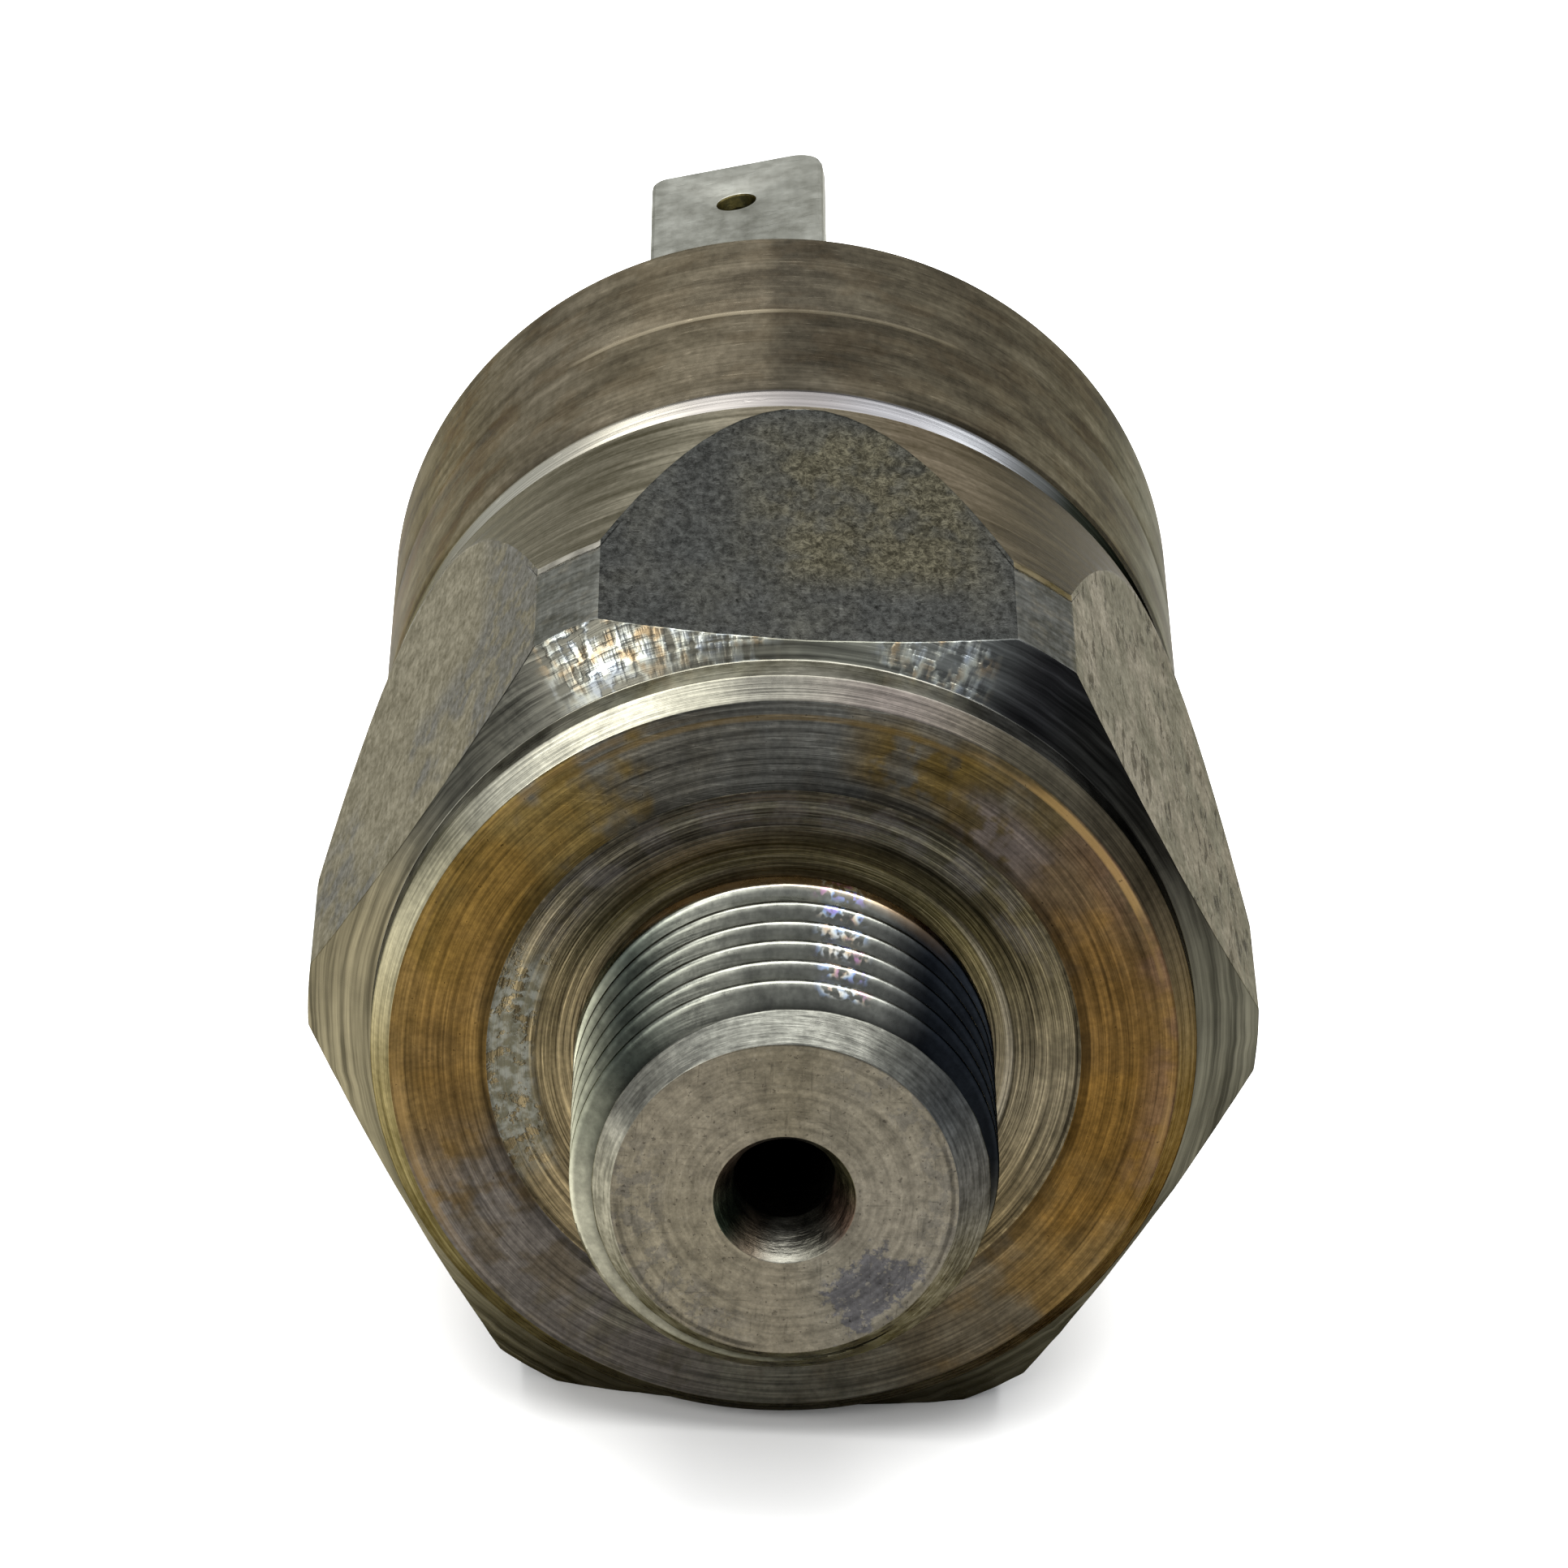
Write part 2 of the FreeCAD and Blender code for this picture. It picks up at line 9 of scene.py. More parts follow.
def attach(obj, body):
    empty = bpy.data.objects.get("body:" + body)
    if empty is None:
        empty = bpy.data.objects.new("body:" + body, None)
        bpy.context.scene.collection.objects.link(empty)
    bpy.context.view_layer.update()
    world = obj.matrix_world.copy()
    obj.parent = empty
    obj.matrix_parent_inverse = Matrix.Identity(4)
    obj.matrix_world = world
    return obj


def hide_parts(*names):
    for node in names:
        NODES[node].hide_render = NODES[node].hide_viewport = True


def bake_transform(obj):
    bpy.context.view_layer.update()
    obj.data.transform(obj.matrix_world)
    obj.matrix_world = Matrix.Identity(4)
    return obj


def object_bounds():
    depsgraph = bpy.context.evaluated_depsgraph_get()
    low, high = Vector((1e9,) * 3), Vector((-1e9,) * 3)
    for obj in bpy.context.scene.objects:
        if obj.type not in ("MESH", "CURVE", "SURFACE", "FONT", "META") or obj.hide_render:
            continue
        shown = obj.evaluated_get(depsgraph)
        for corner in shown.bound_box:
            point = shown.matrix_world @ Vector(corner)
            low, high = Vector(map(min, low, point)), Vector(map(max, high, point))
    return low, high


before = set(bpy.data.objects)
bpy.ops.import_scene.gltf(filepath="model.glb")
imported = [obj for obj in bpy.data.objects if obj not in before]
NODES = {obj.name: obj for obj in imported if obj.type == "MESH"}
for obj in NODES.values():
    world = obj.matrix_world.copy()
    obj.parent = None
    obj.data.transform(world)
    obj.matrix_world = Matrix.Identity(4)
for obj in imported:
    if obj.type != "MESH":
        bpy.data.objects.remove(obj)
CAD_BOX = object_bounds()
scene = bpy.context.scene
MM = 0.001
PI = math.pi


# =====================================================================
# node graphs
# =====================================================================
def srgb(r, g, b, k=1.0):
    out = []
    for v in (r, g, b):
        c = v / 255.0
        c = c / 12.92 if c <= 0.04045 else ((c + 0.055) / 1.055) ** 2.4
        out.append(c * k)
    return (out[0], out[1], out[2], 1.0)


class Net:
    """a small node-graph builder; lengths in its maths are millimetres"""

    def __init__(self, name, metallic=1.0, rough=0.35, ior=None, coat=None, aniso=None):
        self.mat = bpy.data.materials.new(name)
        self.mat.use_nodes = True
        self.t = self.mat.node_tree
        self.t.nodes.clear()
        self.out = self.t.nodes.new("ShaderNodeOutputMaterial")
        self.b = self.t.nodes.new("ShaderNodeBsdfPrincipled")
        self.t.links.new(self.b.outputs["BSDF"], self.out.inputs["Surface"])
        self.b.inputs["Metallic"].default_value = metallic
        self.b.inputs["Roughness"].default_value = rough
        if ior:
            self.b.inputs["IOR"].default_value = ior
        if coat:
            self.b.inputs["Coat Weight"].default_value = coat[0]
            self.b.inputs["Coat Roughness"].default_value = coat[1]
        if aniso:
            self.b.inputs["Anisotropic"].default_value = aniso
        if metallic > 0.5:
            self.b.inputs["Specular Tint"].default_value = (0.29, 0.285, 0.26, 1.0)
        tc = self.t.nodes.new("ShaderNodeTexCoord")
        sc = self.t.nodes.new("ShaderNodeVectorMath")
        sc.operation = "SCALE"
        sc.inputs["Scale"].default_value = 1000.0
        self.t.links.new(tc.outputs["Object"], sc.inputs[0])
        self.p = sc.outputs[0]
        sp = self.t.nodes.new("ShaderNodeSeparateXYZ")
        self.t.links.new(self.p, sp.inputs[0])
        self.x, self.y, self.z = sp.outputs[0], sp.outputs[1], sp.outputs[2]
        self._r = self._th = None

    def put(self, sock, v):
        if isinstance(v, bpy.types.NodeSocket):
            self.t.links.new(v, sock)
        elif isinstance(v, tuple) and sock.type == "VECTOR":
            sock.default_value = v[:3]
        elif v is not None:
            sock.default_value = v

    def m(self, op, a, b=None, c=None, clamp=False):
        n = self.t.nodes.new("ShaderNodeMath")
        n.operation = op
        n.use_clamp = clamp
        for i, v in enumerate((a, b, c)):
            self.put(n.inputs[i], v)
        return n.outputs[0]

    def add(self, a, b):
        return self.m("ADD", a, b)

    def sub(self, a, b):
        return self.m("SUBTRACT", a, b)

    def mul(self, a, b):
        return self.m("MULTIPLY", a, b)

    @property
    def r(self):
        if self._r is None:
            self._r = self.m("SQRT", self.add(self.mul(self.x, self.x), self.mul(self.z, self.z)))
        return self._r

    @property
    def th(self):
        """degrees round the axis, 0 at the top, +90 at +X"""
        if self._th is None:
            self._th = self.mul(self.m("ARCTAN2", self.x, self.z), 180.0 / PI)
        return self._th

    def vec(self, a, b, c):
        n = self.t.nodes.new("ShaderNodeCombineXYZ")
        for i, v in enumerate((a, b, c)):
            self.put(n.inputs[i], v)
        return n.outputs[0]

    def noise(self, v=None, scale=1.0, detail=2.0, rough=0.5, distort=0.0):
        n = self.t.nodes.new("ShaderNodeTexNoise")
        n.noise_dimensions = "3D"
        self.put(n.inputs["Vector"], self.p if v is None else v)
        n.inputs["Scale"].default_value = scale
        n.inputs["Detail"].default_value = detail
        n.inputs["Roughness"].default_value = rough
        n.inputs["Distortion"].default_value = distort
        return n.outputs[0]

    def cells(self, v=None, scale=1.0, out="Distance"):
        n = self.t.nodes.new("ShaderNodeTexVoronoi")
        self.put(n.inputs["Vector"], self.p if v is None else v)
        n.inputs["Scale"].default_value = scale
        return n.outputs[out]

    def turned(self, s, k, q, detail=2.0, rough=0.5, seed=0.0):
        """noise drawn out round the axis: k changes per mm along s, q round a turn"""
        return self.noise(
            self.vec(
                self.add(self.mul(s, k), seed),
                self.mul(self.m("DIVIDE", self.x, self.r), q),
                self.mul(self.m("DIVIDE", self.z, self.r), q),
            ),
            1.0, detail, rough,
        )

    def span(self, v, a, b, c=0.0, d=1.0, smooth=True):
        n = self.t.nodes.new("ShaderNodeMapRange")
        n.interpolation_type = "SMOOTHSTEP" if smooth else "LINEAR"
        n.clamp = True
        for key, val in (("Value", v), ("From Min", a), ("From Max", b), ("To Min", c), ("To Max", d)):
            self.put(n.inputs[key], val)
        return n.outputs[0]

    def band(self, v, a, b, soft):
        """1 between a and b, with soft edges"""
        return self.mul(self.span(v, a - soft, a + soft), self.span(v, b - soft, b + soft, 1.0, 0.0))

    def mix(self, f, a, b, kind="MIX"):
        n = self.t.nodes.new("ShaderNodeMix")
        n.data_type = "RGBA"
        n.blend_type = kind
        n.clamp_factor = True
        self.put(n.inputs[0], f)
        self.put(n.inputs[6], a)
        self.put(n.inputs[7], b)
        return n.outputs[2]

    def gain(self, col, f):
        """colour times a number"""
        n = self.t.nodes.new("ShaderNodeVectorMath")
        n.operation = "SCALE"
        self.put(n.inputs[0], col)
        self.put(n.inputs["Scale"], f)
        return n.outputs[0]

    def ramp(self, f, stops, kind="LINEAR"):
        n = self.t.nodes.new("ShaderNodeValToRGB")
        n.color_ramp.interpolation = kind
        e = n.color_ramp.elements
        while len(e) > 1:
            e.remove(e[-1])
        e[0].position = stops[0][0]
        e[0].color = stops[0][1]
        for p, c in stops[1:]:
            k = e.new(p)
            k.color = c
        self.put(n.inputs[0], f)
        return n.outputs[0]

    def dial(self, stops, shift=None, kind="EASE"):
        """colour by angle; stops are (degrees from -180 to 180, colour)"""
        a = self.th if shift is None else self.add(self.th, shift)
        f = self.mul(self.add(a, 180.0), 1.0 / 360.0)
        return self.ramp(f, [((d + 180.0) / 360.0, c) for d, c in stops], kind)

    def grit(self, col, size, amount, flat=1.0, seed=0.0):
        """even fine mottling; flat stretches it along the axis"""
        v = self.noise(self.vec(self.add(self.x, seed), self.mul(self.y, flat), self.z), 1.0 / size, 2.0, 0.6)
        return self.gain(col, self.span(v, 0.3, 0.7, 1.0 - amount, 1.0 + amount, False))

    def bump(self, *heights):
        """heights are (socket, depth in mm)"""
        last = None
        for h, depth in heights:
            n = self.t.nodes.new("ShaderNodeBump")
            n.inputs["Strength"].default_value = 1.0
            n.inputs["Distance"].default_value = depth * MM
            self.put(n.inputs["Height"], h)
            if last is not None:
                self.t.links.new(last, n.inputs["Normal"])
            last = n.outputs[0]
        self.t.links.new(last, self.b.inputs["Normal"])

    def finish(self, colour=None, rough=None, metallic=None):
        self.put(self.b.inputs["Base Color"], colour)
        self.put(self.b.inputs["Roughness"], rough)
        self.put(self.b.inputs["Metallic"], metallic)
        return self.mat


# =====================================================================
# finishes of the hexagon fitting, one for each turned or drawn surface
# =====================================================================
def c3(r, g, b):
    return (r, g, b, 1.0)


# per-surface multipliers on the base colours; besides each surface's own tone they carry painted light, lifting the
# side flats, the bar corners, the taper and the collar most
GAIN = {
    "stub_face": (1.38, 1.32, 1.28), "lead": (1.35, 1.36, 1.34), "thread": (1.35, 1.38, 1.36),
    "rim": (1.5, 1.5, 1.45), "chamfer": (1.3, 1.32, 1.32), "flat_top": (1.85, 1.95, 2.0),
    "flat_side": (3.2, 3.25, 3.7), "strip": (4.1, 4.15, 4.3), "taper": (2.5, 2.5, 2.5),
    "neck": (1.6, 1.6, 1.6), "sleeve": (2.7, 2.65, 2.6), "ring": (1.9, 1.9, 1.95), "blade": (2.75, 2.75, 2.78),
    "mouth": (1.6, 1.6, 1.6), "crust": (1.5, 1.5, 1.5), "wear_and_edge_glint": (2.6, 2.6, 2.6), "relief": (1.3, 1.15, 0.95),
    "edge": (0.8, 0.8, 0.8), "bore": (1.2, 1.2, 1.2),
}
ALL = 0.28


def g(zone, col):
    k = GAIN.get(zone, (1.0, 1.0, 1.0))
    return (col[0] * k[0] * ALL, col[1] * k[1] * ALL, col[2] * k[2] * ALL, 1.0)


def speckle(n, size, lo, hi, seed=0.0):
    v = n.vec(n.add(n.x, seed), n.y, n.z)
    return n.span(n.noise(v, 1.0 / size, 3.0, 0.6), lo, hi)


def mat_stub_face():
    n = Net("stub_face_steel", rough=0.36)
    ring = n.turned(n.r, 5.0, 0.9, 3.0, 0.6)
    fine = n.turned(n.r, 26.0, 0.7, 2.0, 0.5, 4.0)
    blotch = n.noise(None, 0.55, 3.0, 0.55)
    k = "stub_face"
    col = n.dial([
        (-180, g(k, srgb(118, 113, 99))), (-120, g(k, srgb(121, 116, 100))),
        (-40, g(k, srgb(120, 115, 101))), (0, g(k, srgb(109, 104, 89))), (30, g(k, srgb(116, 112, 99))),
        (100, g(k, srgb(122, 118, 106))), (150, g(k, srgb(112, 109, 98))),
        (180, g(k, srgb(118, 113, 99))),
    ])
    # two grey worn areas, one by the rim at the left and one low at the right
    rag = n.noise(None, 1.5, 4.0, 0.68)
    wth = n.add(n.th, n.mul(n.sub(rag, 0.5), 50.0))
    wr = n.add(n.r, n.mul(n.sub(rag, 0.5), 2.4))
    wear_and_edge_glint = n.mul(n.band(wth, 116, 156, 3), n.band(wr, 3.1, 5.0, 0.12))
    left = n.mul(n.span(rag, 0.49, 0.53), n.mul(n.band(n.th, -165, -70, 12), n.span(n.r, 3.5, 4.1)))
    rim = n.mul(n.span(rag, 0.5, 0.54), n.mul(n.band(n.th, 20, 110, 14), n.span(n.r, 3.9, 4.5)))
    col = n.mix(n.mul(wear_and_edge_glint, 0.85), col, g(k, srgb(84, 85, 90)))
    col = n.mix(n.mul(rim, 0.5), col, g(k, srgb(96, 95, 90)))
    col = n.mix(n.mul(left, 0.6), col, g(k, srgb(96, 94, 88)))
    flecks = n.mul(n.span(n.noise(None, 3.2, 3.0, 0.7), 0.56, 0.64), n.add(0.25, n.mul(wear_and_edge_glint, 0.75)))
    col = n.mix(n.mul(flecks, 0.6), col, g(k, srgb(132, 129, 118)))
    col = n.gain(col, n.span(ring, 0.32, 0.68, 0.76, 1.2, False))
    smear = n.noise(None, 1.7, 4.0, 0.66)
    col = n.gain(col, n.span(smear, 0.34, 0.66, 0.74, 1.26, False))
    col = n.grit(col, 0.12, 0.14)
    pits = speckle(n, 0.2, 0.62, 0.7)
    col = n.gain(col, n.sub(1.0, n.mul(pits, 0.4)))
    # scattered scratches
    for a, b, seed in ((0.5, 8.0, 0.0), (7.0, 0.6, 5.0)):
        scr = n.noise(n.vec(n.mul(n.x, a), n.mul(n.z, b), seed), 1.0, 2.0, 0.6)
        col = n.gain(col, n.sub(1.0, n.mul(n.span(scr, 0.62, 0.7), 0.22)))
    groove = n.mul(n.band(n.r, 5.06, 5.2, 0.04), n.add(n.band(n.th, -175, -95, 10), n.band(n.th, 60, 120, 15)))
    col = n.gain(col, n.sub(1.0, n.mul(groove, 0.5)))
    rough = n.add(n.mul(fine, 0.14), n.mul(wear_and_edge_glint, 0.12))
    rough = n.add(rough, 0.27)
    n.bump((fine, 0.006), (blotch, 0.02), (smear, 0.012), (pits, -0.01))
    return n.finish(col, rough)


def mat_thread():
    n = Net("thread_steel", rough=0.3)
    # tone by angle with painted light and shade: the lower left lifted, the right dimmed to dark navy
    col = n.dial([
        (-180, g("thread", srgb(120, 117, 104, 1.3))), (-130, g("thread", srgb(122, 118, 104, 1.8))),
        (-100, g("thread", srgb(130, 127, 112, 1.8))), (-74, g("thread", srgb(116, 116, 102, 1.05))),
        (-52, g("thread", srgb(92, 98, 90, 0.5))), (-15, g("thread", srgb(138, 138, 130, 0.95))),
        (20, g("thread", srgb(140, 140, 134))), (42, g("thread", srgb(64, 70, 80, 0.6))),
        (80, g("thread", srgb(50, 54, 60, 0.45))), (125, g("thread", srgb(100, 95, 84, 1.3))),
        (180, g("thread", srgb(120, 117, 106))),
    ])
    fine = n.turned(n.y, 18.0, 2.0, 2.0, 0.5)
    blot = n.noise(None, 1.3, 3.0, 0.6)
    # painted shade in the thread roots and painted highlight on the crests
    depth = n.add(n.span(n.r, 5.76, 6.2, 0.3, 0.95), n.span(n.r, 6.38, 6.54, 0.0, 1.1))
    col = n.gain(col, depth)
    col = n.gain(col, n.span(blot, 0.3, 0.7, 0.8, 1.2, False))
    col = n.grit(col, 0.2, 0.16)
    # the thread rows next to the flange are lightened, and across the top they turn warm and bright
    col = n.gain(col, n.add(1.0, n.mul(n.span(n.y, -1.6, -1.3), 0.7)))
    warm = n.mul(n.span(n.y, -1.12, -0.88), n.band(n.th, -46, 40, 14))
    col = n.mix(n.mul(warm, 0.85), col, g("thread", srgb(206, 168, 124, 1.5)))
    # small painted glints on the crests at the upper right, in rainbow colours
    tint = n.noise(n.vec(n.mul(n.y, 2.2), n.mul(n.x, 1.3), n.mul(n.z, 1.3)), 1.0, 1.0, 0.4)
    glint_hue = n.ramp(tint, [(0.34, srgb(150, 136, 200)), (0.44, srgb(140, 170, 210)), (0.52, srgb(220, 224, 220)),
                        (0.6, srgb(210, 190, 160)), (0.7, srgb(180, 130, 170))])
    where = n.mul(n.band(n.th, 7, 19, 3), n.span(n.r, 6.2, 6.45))
    glint_dots = n.noise(n.vec(n.mul(n.y, 2.0), n.mul(n.x, 5.0), n.mul(n.z, 5.0)), 1.0, 1.0, 0.4)
    where = n.mul(where, n.span(glint_dots, 0.44, 0.6))
    col = n.mix(n.mul(where, 0.75), col, n.gain(glint_hue, 1.5), "MIX")
    # more painted shade over the right side of the thread
    side = n.mul(n.span(n.th, 24.0, 40.0), n.span(n.th, 120.0, 90.0))
    col = n.gain(col, n.sub(1.0, n.mul(side, 0.62)))
    n.bump((fine, 0.006), (blot, 0.012))
    return n.finish(col, n.span(blot, 0.3, 0.7, 0.22, 0.36, False))


def mat_lead():
    n = Net("lead_in_steel", rough=0.3)
    fine = n.turned(n.y, 14.0, 4.0, 3.0, 0.6)
    blot = n.noise(None, 0.9, 2.0, 0.5)
    # tone by angle with painted light and shade: the lower left and lower right lifted, the right dimmed
    col = n.dial([
        (-180, g("lead", srgb(124, 119, 106))), (-120, g("lead", srgb(130, 126, 112, 1.5))), (-88, g("lead", srgb(136, 132, 117, 1.45))),
        (-55, g("lead", srgb(150, 148, 138, 1.1))), (-25, g("lead", srgb(150, 150, 142, 0.82))), (25, g("lead", srgb(152, 152, 144, 0.8))),
        (55, g("lead", srgb(104, 106, 106, 0.8))), (85, g("lead", srgb(92, 90, 86, 0.9))), (125, g("lead", srgb(120, 115, 102, 1.5))),
        (180, g("lead", srgb(128, 124, 110))),
    ])
    col = n.gain(col, n.span(fine, 0.34, 0.66, 0.66, 1.26, False))
    col = n.gain(col, n.span(n.noise(None, 1.4, 3.0, 0.66), 0.34, 0.66, 0.68, 1.26, False))
    col = n.grit(col, 0.16, 0.16)
    n.bump((fine, 0.012), (blot, 0.02))
    return n.finish(col, n.span(blot, 0.3, 0.7, 0.26, 0.38, False))


def mat_recess():
    n = Net("recess_steel", rough=0.42)
    ring = n.turned(n.r, 5.5, 1.1, 3.0, 0.65)
    fine = n.turned(n.r, 22.0, 0.8, 3.0, 0.6, 7.0)
    blot = n.noise(None, 0.8, 3.0, 0.55)
    k = "recess"
    # the dish's tone by angle; the strength factors lift its top well above the sides: painted light in the shaded top
    # of the dish
    col = n.dial([
        (-180, g(k, srgb(84, 78, 66, 2.4))), (-125, g(k, srgb(104, 92, 68, 2.3))),
        (-80, g(k, srgb(116, 104, 78, 2.3))), (-45, g(k, srgb(88, 83, 70, 3.0))),
        (-15, g(k, srgb(66, 64, 56, 6.5))), (20, g(k, srgb(64, 62, 52, 6.0))),
        (55, g(k, srgb(88, 80, 58, 3.0))), (95, g(k, srgb(100, 92, 74, 2.3))),
        (135, g(k, srgb(94, 82, 58, 2.1))), (180, g(k, srgb(84, 78, 66, 2.4))),
    ])
    line = n.span(ring, 0.34, 0.66, 0.0, 1.0, False)
    top_side = n.band(n.th, -70, 70, 20)
    col = n.gain(col, n.add(0.34, n.mul(line, 1.3)))
    thin = n.turned(n.r, 12.0, 0.9, 3.0, 0.7, 15.0)
    col = n.gain(col, n.span(thin, 0.35, 0.65, n.span(top_side, 0.0, 1.0, 0.6, 0.25), 1.6, False))
    # greenish in the bottom, plum at the step, above the stub
    top = n.band(n.th, -60, 60, 20)
    green = n.mul(top, n.band(n.r, 5.6, 7.6, 0.4))
    col = n.mix(n.mul(green, 0.4), col, g(k, srgb(92, 84, 48, 4.0)), "MIX")
    plum = n.mul(n.mul(top, n.band(n.r, 8.0, 9.3, 0.25)), n.span(blot, 0.42, 0.56))
    col = n.mix(n.mul(plum, 0.5), col, g(k, srgb(70, 67, 66, 4.6)))
    # a darker band on the dish's slope at the top: painted shade
    dark = n.mul(n.band(n.r, 7.1, 7.9, 0.15), top)
    col = n.gain(col, n.sub(1.0, n.mul(dark, 0.35)))
    # a light ring on the dish's slope at the right only: painted highlight
    light = n.mul(n.band(n.r, 6.95, 7.2, 0.05), n.band(n.th, 40, 150, 20))
    col = n.mix(n.mul(light, 0.6), col, g(k, srgb(150, 142, 124, 1.8)))
    col = n.gain(col, n.span(blot, 0.32, 0.68, 0.78, 1.2, False))
    col = n.grit(col, 0.2, 0.2)
    # dried deposit in the groove
    crust = n.mul(n.band(n.r, 7.9, 9.5, 0.2), n.band(n.th, -116, -70, 9))
    crust = n.mul(crust, n.span(n.noise(None, 1.6, 4.0, 0.7), 0.42, 0.5))
    tone = n.mix(n.span(n.noise(None, 3.0, 3.0, 0.6), 0.38, 0.62), g("crust", srgb(112, 110, 92)), g("crust", srgb(160, 162, 152)))
    col = n.mix(n.mul(crust, 0.85), col, tone)
    # ragged dark edge round the deposit and in the groove
    edge = n.mul(n.band(n.r, 9.2, 9.5, 0.08), n.span(n.noise(None, 2.2, 3.0, 0.6), 0.44, 0.52))
    col = n.gain(col, n.sub(1.0, n.mul(edge, 0.4)))
    n.bump((ring, 0.03), (fine, 0.01), (crust, 0.03))
    rough = n.add(n.mul(fine, 0.16), n.add(0.36, n.mul(crust, 0.35)))
    return n.finish(col, rough, n.sub(1.0, n.mul(crust, 0.75)))


def mat_flange():
    n = Net("flange_face_steel", rough=0.34)
    ring = n.turned(n.r, 4.5, 1.4, 3.0, 0.6)
    fine = n.turned(n.r, 24.0, 1.0, 3.0, 0.6, 3.0)
    blot = n.noise(None, 0.5, 3.0, 0.55)
    wob = n.mul(n.sub(blot, 0.5), 70.0)
    k = "flange"
    # the face's film colours by angle, golden, grey and purple; the strength factors lift the top and most of all the
    # bottom, where the face mirrors the shaded floor: painted light
    col = n.dial([
        (-180, g(k, srgb(66, 64, 56, 3.4))), (-155, g(k, srgb(76, 71, 62, 2.0))), (-128, g(k, srgb(84, 76, 64, 1.5))),
        (-104, g(k, srgb(98, 80, 50, 1.45))), (-82, g(k, srgb(108, 86, 48, 1.5))), (-62, g(k, srgb(100, 80, 40, 1.6))),
        (-42, g(k, srgb(88, 74, 42, 1.9))),
        (-27, g(k, srgb(68, 66, 60, 2.2))), (0, g(k, srgb(63, 63, 60, 2.4))), (16, g(k, srgb(64, 61, 54, 2.2))),
        (34, g(k, srgb(68, 59, 40, 1.8))), (52, g(k, srgb(74, 62, 46, 1.7))), (76, g(k, srgb(88, 68, 38, 1.6))),
        (100, g(k, srgb(96, 72, 34, 1.6))), (125, g(k, srgb(90, 72, 42, 1.6))), (150, g(k, srgb(74, 67, 54, 2.0))),
        (180, g(k, srgb(66, 64, 56, 3.4))),
    ], wob)
    # broad soft changes of tone: old oil, heat and handling
    drift = n.noise(n.vec(n.x, n.z, 7.0), 0.36, 3.0, 0.6)
    col = n.gain(col, n.span(drift, 0.34, 0.66, 0.72, 1.26, False))
    # brown ring just inside the outer edge on both sides
    outer = n.mul(n.band(n.r, 9.7, 11.6, 0.5), n.add(n.band(n.th, -108, -52, 12), n.band(n.th, 58, 118, 12)))
    col = n.mix(n.mul(outer, 0.45), col, g(k, srgb(82, 60, 26, 1.7)))
    purple = n.mul(n.span(n.r, 10.9, 11.9), n.mul(n.band(n.th, 48, 112, 10), n.span(blot, 0.4, 0.56)))
    col = n.mix(n.mul(purple, 0.6), col, g(k, srgb(82, 64, 52, 1.7)))
    # the olive-brown spot and the plum-grey one beyond it
    spot = n.mul(n.band(n.th, 9, 30, 5), n.band(n.r, 9.9, 11.9, 0.35))
    spot = n.mul(spot, n.span(n.noise(n.vec(n.x, n.z, 1.0), 0.8, 3.0, 0.6), 0.36, 0.5))
    col = n.mix(n.mul(spot, 0.8), col, g(k, srgb(70, 57, 26, 2.0)))
    spot2 = n.mul(n.band(n.th, 30, 47, 5), n.band(n.r, 9.4, 11.0, 0.35))
    spot2 = n.mul(spot2, n.span(n.noise(n.vec(n.x, n.z, 4.0), 0.9, 3.0, 0.6), 0.36, 0.5))
    col = n.mix(n.mul(spot2, 0.75), col, g(k, srgb(80, 73, 70, 1.9)))
    grey = n.mul(n.band(n.th, -172, -112, 10), n.span(n.noise(n.vec(n.x, n.z, 3.0), 0.7, 3.0, 0.6), 0.4, 0.54))
    col = n.mix(n.mul(grey, 0.8), col, g(k, srgb(88, 83, 78, 1.7)))
    line = n.turned(n.r, 9.5, 1.3, 4.0, 0.72, 11.0)
    col = n.gain(col, n.span(ring, 0.3, 0.7, 0.62, 1.42, False))
    col = n.gain(col, n.span(line, 0.3, 0.7, 0.5, 1.6, False))
    smear = n.noise(None, 1.5, 4.0, 0.62)
    col = n.gain(col, n.span(smear, 0.3, 0.7, 0.8, 1.22, False))
    col = n.grit(col, 0.2, 0.2)
    # painted highlight along the edge: gold at the right and left, pale above
    gold_edge_highlight = n.mul(n.band(n.r, 12.02, 12.27, 0.04), n.span(n.turned(n.r, 1.0, 2.6, 2.0), 0.34, 0.54))
    gold_edge_highlight = n.mul(gold_edge_highlight, n.add(n.band(n.th, 14, 100, 18), n.mul(n.band(n.th, -120, -28, 18), 0.75)))
    col = n.mix(n.mul(gold_edge_highlight, 0.62), col, g(k, srgb(160, 130, 82, 1.5)))
    dark = n.mul(n.band(n.r, 11.7, 11.9, 0.05), n.band(n.th, -40, 30, 12))
    col = n.mix(n.mul(dark, 0.5), col, g(k, srgb(96, 76, 34, 1.6)))
    inner = n.band(n.r, 9.3, 9.62, 0.06)
    col = n.gain(col, n.sub(1.0, n.mul(inner, 0.45)))
    # short cross scratches over the lathe lines
    scr = n.noise(n.vec(n.mul(n.x, 0.7), n.mul(n.z, 9.0), 0.0), 1.0, 2.0, 0.6)
    scr = n.mul(n.span(scr, 0.58, 0.7), n.band(n.th, -40, 22, 10))
    col = n.gain(col, n.add(1.0, n.mul(scr, 0.6)))
    pits = speckle(n, 0.2, 0.66, 0.74)
    col = n.gain(col, n.sub(1.0, n.mul(pits, 0.4)))
    n.bump((ring, 0.012), (line, 0.01), (fine, 0.006), (blot, 0.03), (pits, -0.012))
    return n.finish(col, n.add(0.28, n.mul(fine, 0.2)))


